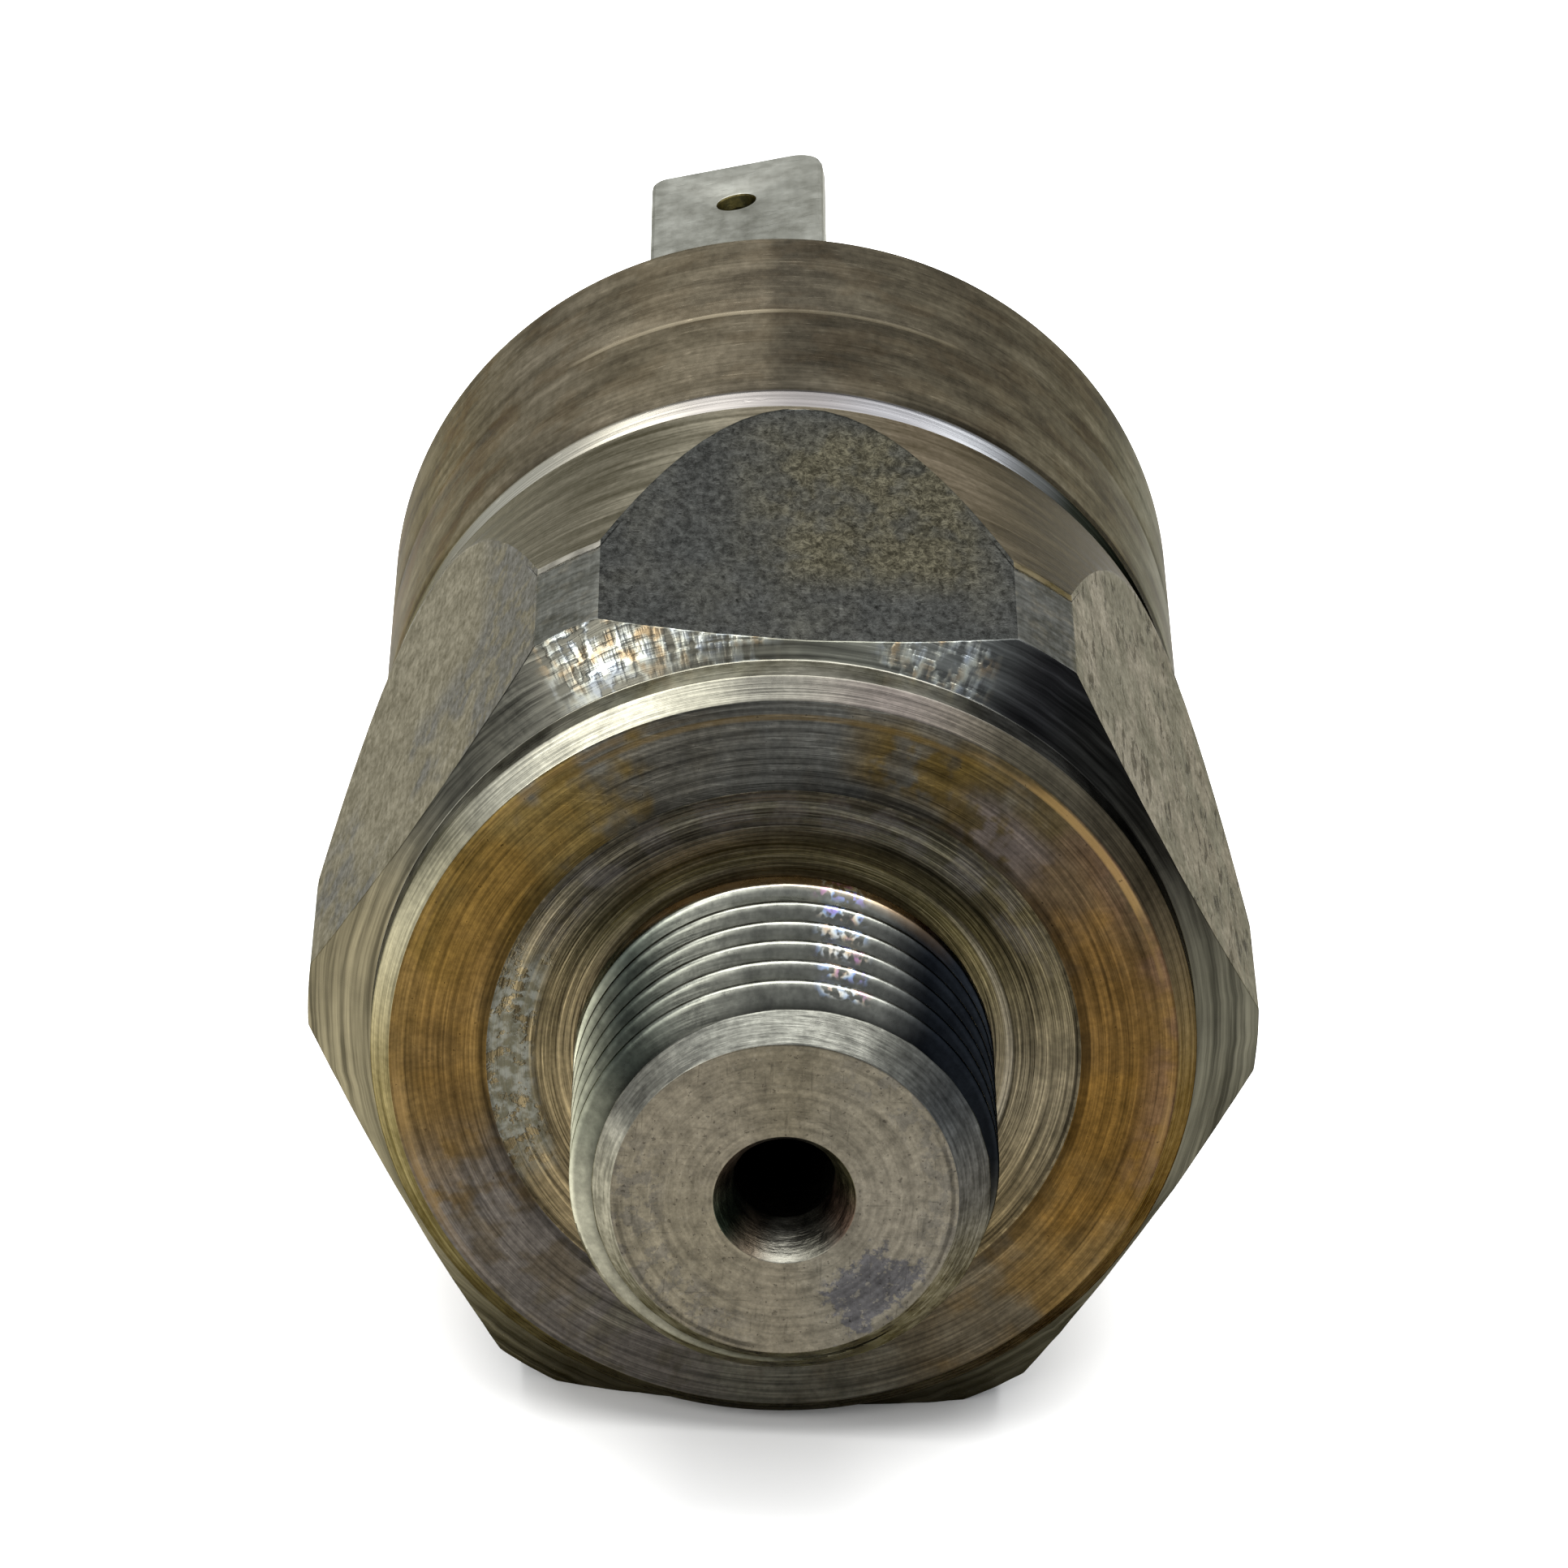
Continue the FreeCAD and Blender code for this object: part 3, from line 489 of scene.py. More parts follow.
def mat_rim():
    n = Net("rim_steel", rough=0.3)
    fine = n.turned(n.add(n.y, n.mul(n.r, 0.6)), 12.0, 1.6, 3.0, 0.65)
    blot = n.noise(None, 0.7, 3.0, 0.6)
    k = "rim"
    # tone by angle: the bevel carries a painted highlight at the upper left and darkens at the right; the cylinder side
    # below is lifted at the upper left and darkens at the right the same way: painted light and shade
    bevel = n.dial([
        (-180, g(k, srgb(110, 106, 94))), (-100, g(k, srgb(118, 108, 78, 1.5))), (-60, g(k, srgb(124, 120, 102, 2.6))), (-44, g(k, srgb(148, 146, 134, 3.4))),
        (-28, g(k, srgb(152, 150, 138, 2.6))), (-16, g(k, srgb(148, 146, 134, 1.2))), (-6, g(k, srgb(140, 138, 130, 0.7))), (12, g(k, srgb(136, 128, 124, 0.55))),
        (34, g(k, srgb(108, 102, 88, 0.85))),
        (62, g(k, srgb(78, 70, 56, 1.2))), (100, g(k, srgb(100, 84, 56, 1.2))), (180, g(k, srgb(110, 106, 94))),
    ])
    side = n.dial([
        (-180, g(k, srgb(110, 106, 94))), (-100, g(k, srgb(112, 108, 90, 1.3))), (-70, g(k, srgb(108, 106, 96, 3.0))), (-45, g(k, srgb(112, 110, 100, 4.6))),
        (-20, g(k, srgb(112, 110, 100, 4.0))), (10, g(k, srgb(112, 110, 104, 2.6))), (30, g(k, srgb(92, 92, 90, 2.0))),
        (50, g(k, srgb(62, 62, 60, 0.9))), (100, g(k, srgb(92, 86, 70, 1.2))), (180, g(k, srgb(110, 106, 94))),
    ])
    col = n.mix(n.span(n.y, 0.56, 0.66), bevel, side)
    col = n.gain(col, n.span(fine, 0.32, 0.7, 0.5, 1.4, False))
    col = n.gain(col, n.span(blot, 0.32, 0.68, 0.8, 1.16, False))
    col = n.grit(col, 0.2, 0.14)
    n.bump((fine, 0.012), (blot, 0.02))
    return n.finish(col, n.span(blot, 0.3, 0.7, 0.26, 0.38, False))


def mat_chamfer():
    n = Net("chamfer_steel", rough=0.3)
    blot = n.noise(None, 0.6, 3.0, 0.6)
    line = n.turned(n.y, 9.0, 1.6, 3.0, 0.65)
    k = "chamfer"
    # the cone's tone by angle: dark at the right from about 30° to 60° and in a dip at the upper left: painted dark
    # reflection
    col = n.dial([
        (-180, g(k, srgb(104, 98, 82))), (-120, g(k, srgb(132, 124, 100))), (-80, g(k, srgb(140, 130, 104))),
        (-52, g(k, srgb(104, 102, 92))), (-38, g(k, srgb(88, 87, 80))), (-22, g(k, srgb(112, 110, 100))), (-8, g(k, srgb(122, 120, 108))),
        (6, g(k, srgb(118, 118, 108, 1.5))), (20, g(k, srgb(108, 110, 108, 1.3))), (31, g(k, srgb(64, 64, 66, 0.9))),
        (42, g(k, srgb(46, 46, 44, 1.3))), (60, g(k, srgb(54, 52, 46, 1.2))), (84, g(k, srgb(98, 95, 82))),
        (130, g(k, srgb(100, 96, 82))), (180, g(k, srgb(104, 98, 82))),
    ])
    col = n.gain(col, n.span(line, 0.34, 0.68, 0.45, 1.5, False))
    # painted glints: small bright flecks in a cross-hatch at the upper left and upper right of the cone, in cold and
    # warm tints
    rows = n.turned(n.y, 9.0, 5.0, 2.0, 0.5, 21.0)
    cols = n.turned(n.y, 1.6, 52.0, 2.0, 0.5, 5.0)
    glint_flecks = n.add(n.mul(rows, 0.5), n.mul(cols, 0.5))
    glint_flecks = n.span(glint_flecks, 0.42, 0.6)
    out = n.span(n.r, 13.3, 13.62)
    left = n.mul(n.band(n.th, -33, -5, 3), n.add(0.35, n.mul(out, 0.65)))
    right = n.mul(n.band(n.th, 10, 24, 2.5), n.span(n.noise(None, 1.7, 2.0, 0.6), 0.36, 0.5))
    glint_hue = n.turned(n.y, 2.4, 22.0, 2.0, 0.5, 33.0)
    glint_colour = n.ramp(glint_hue, [(0.34, g(k, srgb(206, 216, 228, 1.1))), (0.5, g(k, srgb(232, 234, 220, 1.15))), (0.62, g(k, srgb(206, 180, 142, 1.0)))])
    glint_flecks = n.mul(glint_flecks, n.add(left, right))
    col = n.mix(n.mul(glint_flecks, 0.82), col, glint_colour)
    # painted dark reflection, in stripes, at the right and in a small patch at the upper left
    dark = n.add(n.band(n.th, 27, 62, 5), n.mul(n.band(n.th, -48, -35, 3), n.span(n.r, 13.4, 13.8)))
    stripe = n.span(n.turned(n.y, 8.0, 2.0, 2.0, 0.6, 9.0), 0.56, 0.44)
    col = n.gain(col, n.sub(1.0, n.mul(n.mul(stripe, 0.5), dark)))
    col = n.gain(col, n.span(blot, 0.3, 0.7, 0.84, 1.16, False))
    n.bump((line, 0.02), (glint_flecks, 0.02), (blot, 0.04))
    return n.finish(col, n.span(blot, 0.3, 0.7, 0.24, 0.36, False))


def mat_flat_top():
    n = Net("drawn_flat_top", rough=0.5)
    drawn = n.noise(n.vec(n.mul(n.x, 7.0), n.mul(n.y, 0.35), n.mul(n.z, 7.0)), 1.0, 3.0, 0.6)
    blot = n.noise(n.vec(n.x, n.mul(n.y, 0.5), n.z), 0.42, 3.0, 0.55)
    k = "flat_top"
    # the top flat is the same drawn steel as the side flats, painted a much darker grey: painted shade for its dark
    # reflection
    col = n.ramp(blot, [(0.3, g(k, srgb(71, 71, 69))), (0.5, g(k, srgb(79, 78, 75))), (0.7, g(k, srgb(86, 84, 78)))])
    # a rusty brown area with a leathery grain, right of the middle
    where = n.mul(n.band(n.y, 6.4, 18.5, 1.6), n.mul(n.span(n.x, -3.4, 0.4), n.span(n.x, 6.6, 4.6)))
    patchy = n.span(n.noise(n.vec(n.x, n.mul(n.y, 0.5), n.z), 0.7, 3.0, 0.6), 0.34, 0.56)
    brown = n.mul(where, n.add(0.4, n.mul(patchy, 0.6)))
    col = n.mix(n.mul(brown, 0.8), col, g(k, srgb(88, 82, 66)))
    worm = n.noise(n.vec(n.mul(n.x, 3.0), n.mul(n.y, 1.5), n.mul(n.z, 3.0)), 1.0, 3.0, 0.62, 1.4)
    ridge = n.span(n.m("ABSOLUTE", n.sub(worm, 0.5)), 0.0, 0.09, 1.0, 0.0)
    col = n.gain(col, n.add(0.9, n.mul(n.mul(ridge, 0.7), n.add(0.25, n.mul(brown, 0.75)))))
    grain = n.noise(n.vec(n.mul(n.x, 5.0), n.mul(n.y, 2.4), n.mul(n.z, 5.0)), 1.0, 3.0, 0.65)
    col = n.gain(col, n.span(grain, 0.34, 0.66, 0.6, 1.42, False))
    col = n.gain(col, n.span(drawn, 0.3, 0.7, 0.96, 1.04, False))
    # light short marks across the middle
    mark = n.noise(n.vec(n.mul(n.x, 1.6), n.mul(n.y, 3.4), 2.0), 1.0, 3.0, 0.7)
    mark = n.mul(n.span(mark, 0.62, 0.7), n.band(n.y, 3.5, 9.0, 1.0))
    col = n.gain(col, n.add(1.0, n.mul(mark, 0.55)))
    pits = n.span(n.noise(n.vec(n.mul(n.x, 3.6), n.mul(n.y, 1.6), 6.0), 1.0, 2.0, 0.6), 0.62, 0.72)
    col = n.gain(col, n.sub(1.0, n.mul(pits, 0.45)))
    n.bump((grain, 0.02), (ridge, 0.01), (drawn, 0.004), (pits, -0.012))
    return n.finish(col, n.span(grain, 0.25, 0.75, 0.5, 0.62, False))


def mat_flat_side():
    n = Net("drawn_flats", rough=0.42)
    drawn = n.noise(n.vec(n.mul(n.x, 6.0), n.mul(n.y, 0.22), n.mul(n.z, 6.0)), 1.0, 3.0, 0.6)
    grain = n.noise(n.vec(n.mul(n.x, 6.0), n.mul(n.y, 2.6), n.mul(n.z, 6.0)), 1.0, 3.0, 0.65)
    blot = n.noise(n.vec(n.x, n.mul(n.y, 0.55), n.z), 0.3, 3.0, 0.6)
    k = "flat_side"
    # lighter beige than the top flat: painted light, over the drawn steel's own tone
    col = n.dial([
        (-180, g(k, srgb(112, 106, 90))), (-120, g(k, srgb(120, 112, 92))), (-75, g(k, srgb(122, 117, 98))),
        (-45, g(k, srgb(124, 119, 100))), (0, g(k, srgb(128, 123, 104))), (45, g(k, srgb(130, 124, 106))),
        (75, g(k, srgb(122, 116, 98))), (120, g(k, srgb(118, 110, 90))), (180, g(k, srgb(112, 106, 90))),
    ])
    # rubbed grey: along the edges and in patches at the left, greener at the right
    rag = n.noise(n.vec(n.mul(n.x, 1.2), n.mul(n.y, 0.7), n.mul(n.z, 1.2)), 1.0, 4.0, 0.66)
    near = n.add(n.band(n.th, -46, -28, 3.5), n.mul(n.span(blot, 0.46, 0.56), n.band(n.y, 0.0, 9.5, 1.5)))
    grey = n.mul(n.m("MINIMUM", near, 1.0), n.span(n.th, -20.0, -28.0))
    grey = n.mul(grey, n.span(rag, 0.38, 0.52))
    col = n.mix(n.mul(grey, 0.85), col, g(k, srgb(100, 99, 91)))
    right = n.span(n.th, 20.0, 30.0)
    olive = n.mul(right, n.span(n.noise(n.vec(n.x, n.mul(n.y, 0.35), n.z), 0.6, 3.0, 0.6), 0.42, 0.56))
    col = n.mix(n.mul(olive, 0.6), col, g(k, srgb(102, 100, 84)))
    scratch = n.noise(n.vec(n.mul(n.x, 3.4), n.mul(n.y, 0.5), n.mul(n.z, 3.4)), 1.0, 4.0, 0.66, 0.6)
    scratch = n.mul(n.span(scratch, 0.52, 0.6), n.span(n.noise(None, 0.5, 3.0), 0.38, 0.54))
    scratch = n.mul(scratch, n.span(n.th, 20.0, 32.0, 0.12, 1.0))
    col = n.gain(col, n.sub(1.0, n.mul(scratch, 0.5)))
    col = n.gain(col, n.span(drawn, 0.3, 0.7, 0.92, 1.08, False))
    col = n.gain(col, n.span(rag, 0.36, 0.64, 0.84, 1.16, False))
    col = n.gain(col, n.span(grain, 0.36, 0.64, 0.8, 1.2, False))
    n.bump((grain, 0.01), (drawn, 0.006), (scratch, -0.015))
    return n.finish(col, n.span(grain, 0.25, 0.75, 0.44, 0.56, False))


def mat_strip():
    n = Net("bar_corner_steel", rough=0.36)
    drawn = n.noise(n.vec(n.mul(n.x, 5.0), n.mul(n.y, 0.5), n.mul(n.z, 5.0)), 1.0, 3.0, 0.6)
    grain = n.noise(n.vec(n.mul(n.x, 5.0), n.mul(n.y, 2.4), n.mul(n.z, 5.0)), 1.0, 3.0, 0.65)
    blot = n.noise(None, 0.7, 3.0, 0.6)
    k = "strip"
    col = n.mix(n.span(n.th, -30.0, 40.0), g(k, srgb(100, 100, 94)), g(k, srgb(92, 92, 88)))
    wear_and_edge_glint = n.span(n.noise(n.vec(n.x, n.mul(n.y, 0.8), n.z), 1.7, 3.0, 0.6), 0.48, 0.66)
    col = n.mix(n.mul(wear_and_edge_glint, 0.3), col, g(k, srgb(122, 116, 102)))
    ticks = n.noise(n.vec(n.mul(n.x, 1.2), n.mul(n.y, 4.0), n.mul(n.z, 1.2)), 1.0, 3.0, 0.65)
    col = n.gain(col, n.span(ticks, 0.34, 0.66, 0.74, 1.26, False))
    col = n.gain(col, n.span(drawn, 0.3, 0.7, 0.9, 1.1, False))
    col = n.gain(col, n.span(grain, 0.3, 0.7, 0.8, 1.2, False))
    n.bump((drawn, 0.01), (grain, 0.01), (blot, 0.03))
    return n.finish(col, n.span(blot, 0.3, 0.7, 0.32, 0.46, False))


def mat_taper():
    n = Net("taper_steel", rough=0.34)
    fine = n.turned(n.y, 7.0, 1.4, 3.0, 0.62)
    wide = n.turned(n.y, 1.3, 3.0, 3.0, 0.6, 2.0)
    k = "taper"
    # tone by angle: the top lifted about twice and the left lighter than the right: painted light
    col = n.dial([
        (-180, g(k, srgb(104, 98, 84))), (-110, g(k, srgb(116, 110, 92))), (-50, g(k, srgb(114, 110, 96, 1.0))),
        (-32, g(k, srgb(116, 112, 100, 1.15))), (-16, g(k, srgb(110, 106, 94, 1.9))), (0, g(k, srgb(104, 98, 86, 2.4))),
        (16, g(k, srgb(100, 92, 80, 1.8))), (34, g(k, srgb(94, 88, 76, 1.0))), (48, g(k, srgb(94, 88, 77, 1.0))),
        (90, g(k, srgb(118, 110, 90))), (180, g(k, srgb(104, 98, 84))),
    ])
    col = n.gain(col, n.span(fine, 0.3, 0.7, 0.8, 1.2, False))
    col = n.gain(col, n.span(wide, 0.34, 0.66, 0.74, 1.28, False))
    col = n.grit(col, 0.2, 0.14, 0.5)
    n.bump((fine, 0.01))
    return n.finish(col, n.span(wide, 0.3, 0.7, 0.34, 0.46, False))


def mat_neck():
    n = Net("neck_steel", rough=0.34)
    fine = n.turned(n.y, 14.0, 0.8, 2.0, 0.5)
    col = n.gain(g("neck", srgb(92, 90, 82)), n.span(fine, 0.3, 0.7, 0.8, 1.2, False))
    n.bump((fine, 0.01))
    return n.finish(col, 0.34)


def mat_mouth():
    n = Net("countersink_steel", rough=0.42)
    fine = n.turned(n.y, 7.0, 1.6, 3.0, 0.65)
    blot = n.noise(None, 1.6, 3.0, 0.6)
    k = "mouth"
    # painted light and shade in the countersink: a bright crescent at the bottom and dark round the rest
    col = n.dial([(-180, g(k, srgb(170, 168, 156))), (-150, g(k, srgb(120, 108, 92))), (-120, g(k, srgb(52, 62, 50))),
                  (-60, g(k, srgb(70, 60, 50))), (0, g(k, srgb(60, 58, 52))), (70, g(k, srgb(84, 80, 58))),
                  (110, g(k, srgb(112, 92, 78))), (150, g(k, srgb(130, 128, 116))), (180, g(k, srgb(170, 168, 156)))])
    col = n.gain(col, n.span(fine, 0.3, 0.7, 0.7, 1.3, False))
    col = n.gain(col, n.span(blot, 0.3, 0.7, 0.7, 1.25, False))
    n.bump((fine, 0.03), (blot, 0.05))
    return n.finish(col, n.span(blot, 0.3, 0.7, 0.34, 0.5, False))


def mat_relief():
    n = Net("thread_shoulder_steel", rough=0.34)
    fine = n.turned(n.add(n.y, n.r), 12.0, 1.2, 3.0, 0.6)
    k = "relief"
    # peach and golden-brown tint round the shoulder, with a painted highlight across the top and painted shade at the
    # right
    col = n.dial([(-180, g(k, srgb(110, 98, 74))), (-90, g(k, srgb(120, 104, 76))), (-25, g(k, srgb(190, 160, 124))),
                  (0, g(k, srgb(206, 174, 136))), (25, g(k, srgb(180, 150, 112))), (80, g(k, srgb(84, 76, 64))),
                  (180, g(k, srgb(110, 98, 74)))])
    col = n.gain(col, n.span(fine, 0.3, 0.7, 0.8, 1.2, False))
    n.bump((fine, 0.012))
    return n.finish(col, 0.36)


# a bright band along the edge where the bar corners meet the taper: painted highlight, pale at the left and tan at the
# right
def mat_edge_glint():
    n = Net("corner_edge_painted_glint", rough=0.34)
    blot = n.noise(None, 1.2, 3.0, 0.65)
    k = "wear_and_edge_glint"
    col = n.mix(n.span(n.th, -30.0, 40.0), g(k, srgb(196, 192, 180)), g(k, srgb(142, 130, 104)))
    col = n.gain(col, n.span(blot, 0.35, 0.6, 0.8, 1.15, False))
    n.bump((blot, 0.03))
    return n.finish(col, n.span(blot, 0.3, 0.7, 0.26, 0.4, False))


def mat_bore():
    n = Net("bored_steel", rough=0.3)
    fine = n.turned(n.add(n.y, n.r), 12.0, 1.0, 3.0, 0.6)
    blot = n.noise(None, 0.8, 3.0, 0.6)
    col = n.gain(g("bore", srgb(112, 108, 98)), n.span(fine, 0.3, 0.7, 0.75, 1.2, False))
    col = n.gain(col, n.span(blot, 0.3, 0.7, 0.8, 1.15, False))
    n.bump((fine, 0.02))
    return n.finish(col, n.span(blot, 0.3, 0.7, 0.24, 0.4, False))


# =====================================================================
# finishes of the other pieces
# =====================================================================
def mat_sleeve():
    n = Net("collar_steel", rough=0.32)
    fine = n.turned(n.y, 7.0, 0.9, 3.0, 0.6)
    vfine = n.turned(n.y, 30.0, 0.5, 2.0, 0.5, 3.0)
    wide = n.turned(n.y, 0.8, 3.4, 3.0, 0.6, 6.0)
    wob = n.mul(n.sub(n.noise(None, 1.2, 3.0, 0.6), 0.5), 3.0)
    k = "sleeve"
    # tone by angle: a step just left of the top, lighter on the left and darker on the right, and dimmed sides: painted
    # reflection and shade
    col = n.dial([
        (-180, g(k, srgb(100, 95, 84, 1.0))), (-110, g(k, srgb(112, 105, 88, 0.85))), (-70, g(k, srgb(114, 108, 92, 0.88))),
        (-42, g(k, srgb(104, 99, 88, 1.25))), (-22, g(k, srgb(105, 99, 86, 1.15))), (-6, g(k, srgb(105, 99, 87, 1.05))),
        (-3.2, g(k, srgb(84, 80, 71, 1.0))), (22, g(k, srgb(82, 78, 68, 1.2))), (45, g(k, srgb(92, 88, 77, 1.3))),
        (66, g(k, srgb(110, 109, 98, 0.86))), (110, g(k, srgb(110, 103, 88, 0.85))), (180, g(k, srgb(100, 95, 84, 1.0))),
    ], wob)
    col = n.gain(col, n.span(fine, 0.3, 0.7, 0.84, 1.16, False))
    col = n.gain(col, n.span(wide, 0.34, 0.66, 0.72, 1.28, False))
    stain = n.noise(None, 0.45, 4.0, 0.62)
    col = n.gain(col, n.span(stain, 0.34, 0.66, 0.8, 1.18, False))
    col = n.grit(col, 0.26, 0.16, 0.5)
    brown = n.mul(n.span(n.noise(None, 0.5, 3.0, 0.6, 0.0), 0.48, 0.62), n.span(n.th, -70.0, -20.0, 1.0, 0.25))
    col = n.mix(n.mul(brown, 0.35), col, g(k, srgb(112, 92, 66, 0.9)))
    # a tool mark stops short of the right-hand side
    line = n.mul(n.band(n.y, 28.5, 28.8, 0.06), n.add(n.band(n.th, -34, -4, 3), n.mul(n.band(n.th, -4, 22, 3), 0.3)))
    col = n.mix(n.mul(line, 0.75), col, g(k, srgb(146, 138, 120, 1.3)))
    # painted shade in a band just behind the nose, deepest at the right
    behind = n.mul(n.band(n.y, 22.1, 22.55, 0.08), n.add(0.25, n.mul(n.span(n.th, 4.0, 24.0), 0.75)))
    col = n.gain(col, n.sub(1.0, n.mul(behind, 0.6)))
    # the nose where the tool rolled the collar down: a painted highlight across its upper left and upper right, and
    # painted shade at the right
    ring = n.dial([
        (-180, g("ring", srgb(120, 118, 108))), (-70, g("ring", srgb(124, 120, 104, 1.2))), (-46, g("ring", srgb(136, 134, 122, 2.6))),
        (-30, g("ring", srgb(156, 152, 138, 2.0))), (-14, g("ring", srgb(150, 146, 140, 0.85))), (0, g("ring", srgb(146, 142, 140, 0.5))),
        (14, g("ring", srgb(140, 140, 142, 0.75))), (28, g("ring", srgb(134, 136, 138, 1.7))), (36, g("ring", srgb(104, 106, 104, 1.4))),
        (44, g("ring", srgb(70, 74, 66, 0.8))), (60, g("ring", srgb(48, 52, 44, 0.5))), (100, g("ring", srgb(70, 72, 60, 0.7))), (180, g("ring", srgb(120, 118, 108))),
    ])
    ring = n.gain(ring, n.span(n.turned(n.add(n.y, n.r), 9.0, 1.6, 3.0, 0.6, 2.0), 0.32, 0.68, 0.66, 1.24, False))
    front = n.span(n.y, 22.16, 22.02)
    col = n.mix(front, col, ring)
    scr = n.noise(n.vec(n.mul(n.x, 1.2), n.mul(n.y, 6.0), n.mul(n.z, 1.2)), 1.0, 2.0, 0.6)
    scr = n.span(scr, 0.64, 0.72)
    col = n.gain(col, n.add(1.0, n.mul(scr, 0.25)))
    n.bump((fine, 0.006), (vfine, 0.004), (scr, -0.004))
    return n.finish(col, n.span(n.y, 21.9, 22.4, 0.33, 0.47))


def mat_blade():
    n = Net("tinned_terminal", rough=0.42)
    roll = n.noise(n.vec(n.mul(n.x, 4.0), n.mul(n.y, 0.3), n.mul(n.z, 4.0)), 1.0, 3.0, 0.55)
    grain = n.noise(None, 1.1, 4.0, 0.62)
    rub = n.noise(n.vec(n.mul(n.x, 1.0), n.mul(n.y, 5.0), n.mul(n.z, 1.0)), 1.0, 3.0, 0.6)
    k = "blade"
    col = n.ramp(grain, [(0.3, g(k, srgb(150, 150, 141))), (0.7, g(k, srgb(164, 165, 157)))])
    col = n.gain(col, n.span(roll, 0.3, 0.7, 0.95, 1.05, False))
    marks = n.mul(n.span(rub, 0.58, 0.68), n.span(n.y, 46.0, 50.0))
    col = n.gain(col, n.sub(1.0, n.mul(marks, 0.14)))
    n.bump((grain, 0.01), (roll, 0.0015), (marks, -0.003))
    return n.finish(col, n.span(grain, 0.3, 0.7, 0.38, 0.5, False))


def mat_blade_edge():
    n = Net("bare_brass_edge", rough=0.4)
    shear = n.noise(n.vec(n.mul(n.x, 8.0), n.mul(n.y, 8.0), n.mul(n.z, 1.0)), 1.0, 3.0, 0.6)
    col = n.ramp(shear, [(0.3, g("edge", srgb(92, 84, 48))), (0.7, g("edge", srgb(150, 138, 92)))])
    n.bump((shear, 0.012))
    return n.finish(col, 0.38)


# a near-black finish for the deep part of the detent hole: painted shade
def mat_hole_wall():
    n = Net("hole_wall_painted_shade", rough=0.5)
    shear = n.noise(None, 3.0, 3.0, 0.6)
    col = n.ramp(shear, [(0.3, srgb(26, 25, 14)), (0.7, srgb(44, 40, 20))])
    n.bump((shear, 0.03))
    return n.finish(col, 0.5)


def mat_moulded(name, dark, light, rough, size, depth):
    n = Net(name, metallic=0.0, rough=rough, ior=1.5)
    grain = n.noise(None, size, 4.0, 0.6)
    flow = n.noise(n.vec(n.x, n.mul(n.y, 0.4), n.z), 0.35, 3.0, 0.5)
    col = n.gain(n.mix(n.span(flow, 0.3, 0.7), dark, light), 0.67)
    col = n.gain(col, n.span(grain, 0.25, 0.75, 0.88, 1.12, False))
    n.bump((grain, depth))
    return n.finish(col, n.span(grain, 0.25, 0.75, rough - 0.06, rough + 0.08, False))


def mat_plain_metal(name, col_a, col_b, rough, along="y", k=11.0, depth=0.006):
    n = Net(name, rough=rough)
    s = n.y if along == "y" else n.add(n.y, n.r)
    fine = n.turned(s, k, 0.8, 3.0, 0.55)
    blot = n.noise(None, 0.9, 3.0, 0.6)
    col = n.gain(n.mix(n.span(blot, 0.35, 0.65), col_a, col_b), 0.67)
    col = n.gain(col, n.span(fine, 0.3, 0.7, 0.88, 1.12, False))
    n.bump((fine, depth), (blot, depth * 2))
    return n.finish(col, n.span(blot, 0.3, 0.7, rough - 0.05, rough + 0.07, False))


def mat_wire(name, col_a, col_b):
    n = Net(name, rough=0.3)
    drawn = n.noise(n.vec(n.mul(n.x, 2.0), n.mul(n.y, 14.0), n.mul(n.z, 2.0)), 1.0, 3.0, 0.6)
    col = n.gain(n.mix(n.span(drawn, 0.3, 0.7), col_a, col_b), 0.67)
    n.bump((drawn, 0.004))
    return n.finish(col, n.span(drawn, 0.3, 0.7, 0.24, 0.36, False))


M = {
    "hole_wall": mat_hole_wall(),}
M["stub_face"] = mat_stub_face()
M["thread"] = mat_thread()
M["lead"] = mat_lead()
M["recess"] = mat_recess()
M["flange"] = mat_flange()
M["rim"] = mat_rim()
M["chamfer"] = mat_chamfer()
M["flat_top"] = mat_flat_top()
M["flat_side"] = mat_flat_side()
M["strip"] = mat_strip()
M["taper"] = mat_taper()
M["neck"] = mat_neck()
M["bore"] = mat_bore()
M["mouth"] = mat_mouth()
M["relief"] = mat_relief()
M["wear_and_edge_glint"] = mat_edge_glint()
M["sleeve"] = mat_sleeve()
M["blade"] = mat_blade()
M["blade_edge"] = mat_blade_edge()
M["insulator"] = mat_moulded("glass_filled_black", srgb(26, 25, 24), srgb(38, 36, 34), 0.46, 6.0, 0.012)
M["rubber"] = mat_moulded("nitrile_rubber", srgb(20, 20, 21), srgb(30, 30, 31), 0.58, 9.0, 0.006)
M["pusher"] = mat_moulded("acetal_white", srgb(214, 210, 198), srgb(228, 225, 214), 0.38, 4.0, 0.004)
M["washer"] = mat_plain_metal("washer_zinc", srgb(126, 126, 120), srgb(148, 147, 138), 0.38, "both")
M["inner"] = mat_plain_metal("turned_steel", srgb(122, 120, 112), srgb(146, 143, 132), 0.3, "both")
M["screw"] = mat_plain_metal("screw_steel", srgb(122, 120, 112), srgb(150, 146, 134), 0.32, "both")
M["brass"] = mat_plain_metal("insert_brass", srgb(170, 138, 72), srgb(196, 164, 98), 0.3, "both")
M["contact_brass"] = mat_plain_metal("strip_brass", srgb(168, 132, 76), srgb(192, 158, 100), 0.34, "y", 5.0)
M["silver"] = mat_plain_metal("contact_silver", srgb(186, 184, 178), srgb(206, 204, 198), 0.3, "both")
M["wire"] = mat_wire("spring_wire", srgb(112, 112, 110), srgb(150, 149, 144))


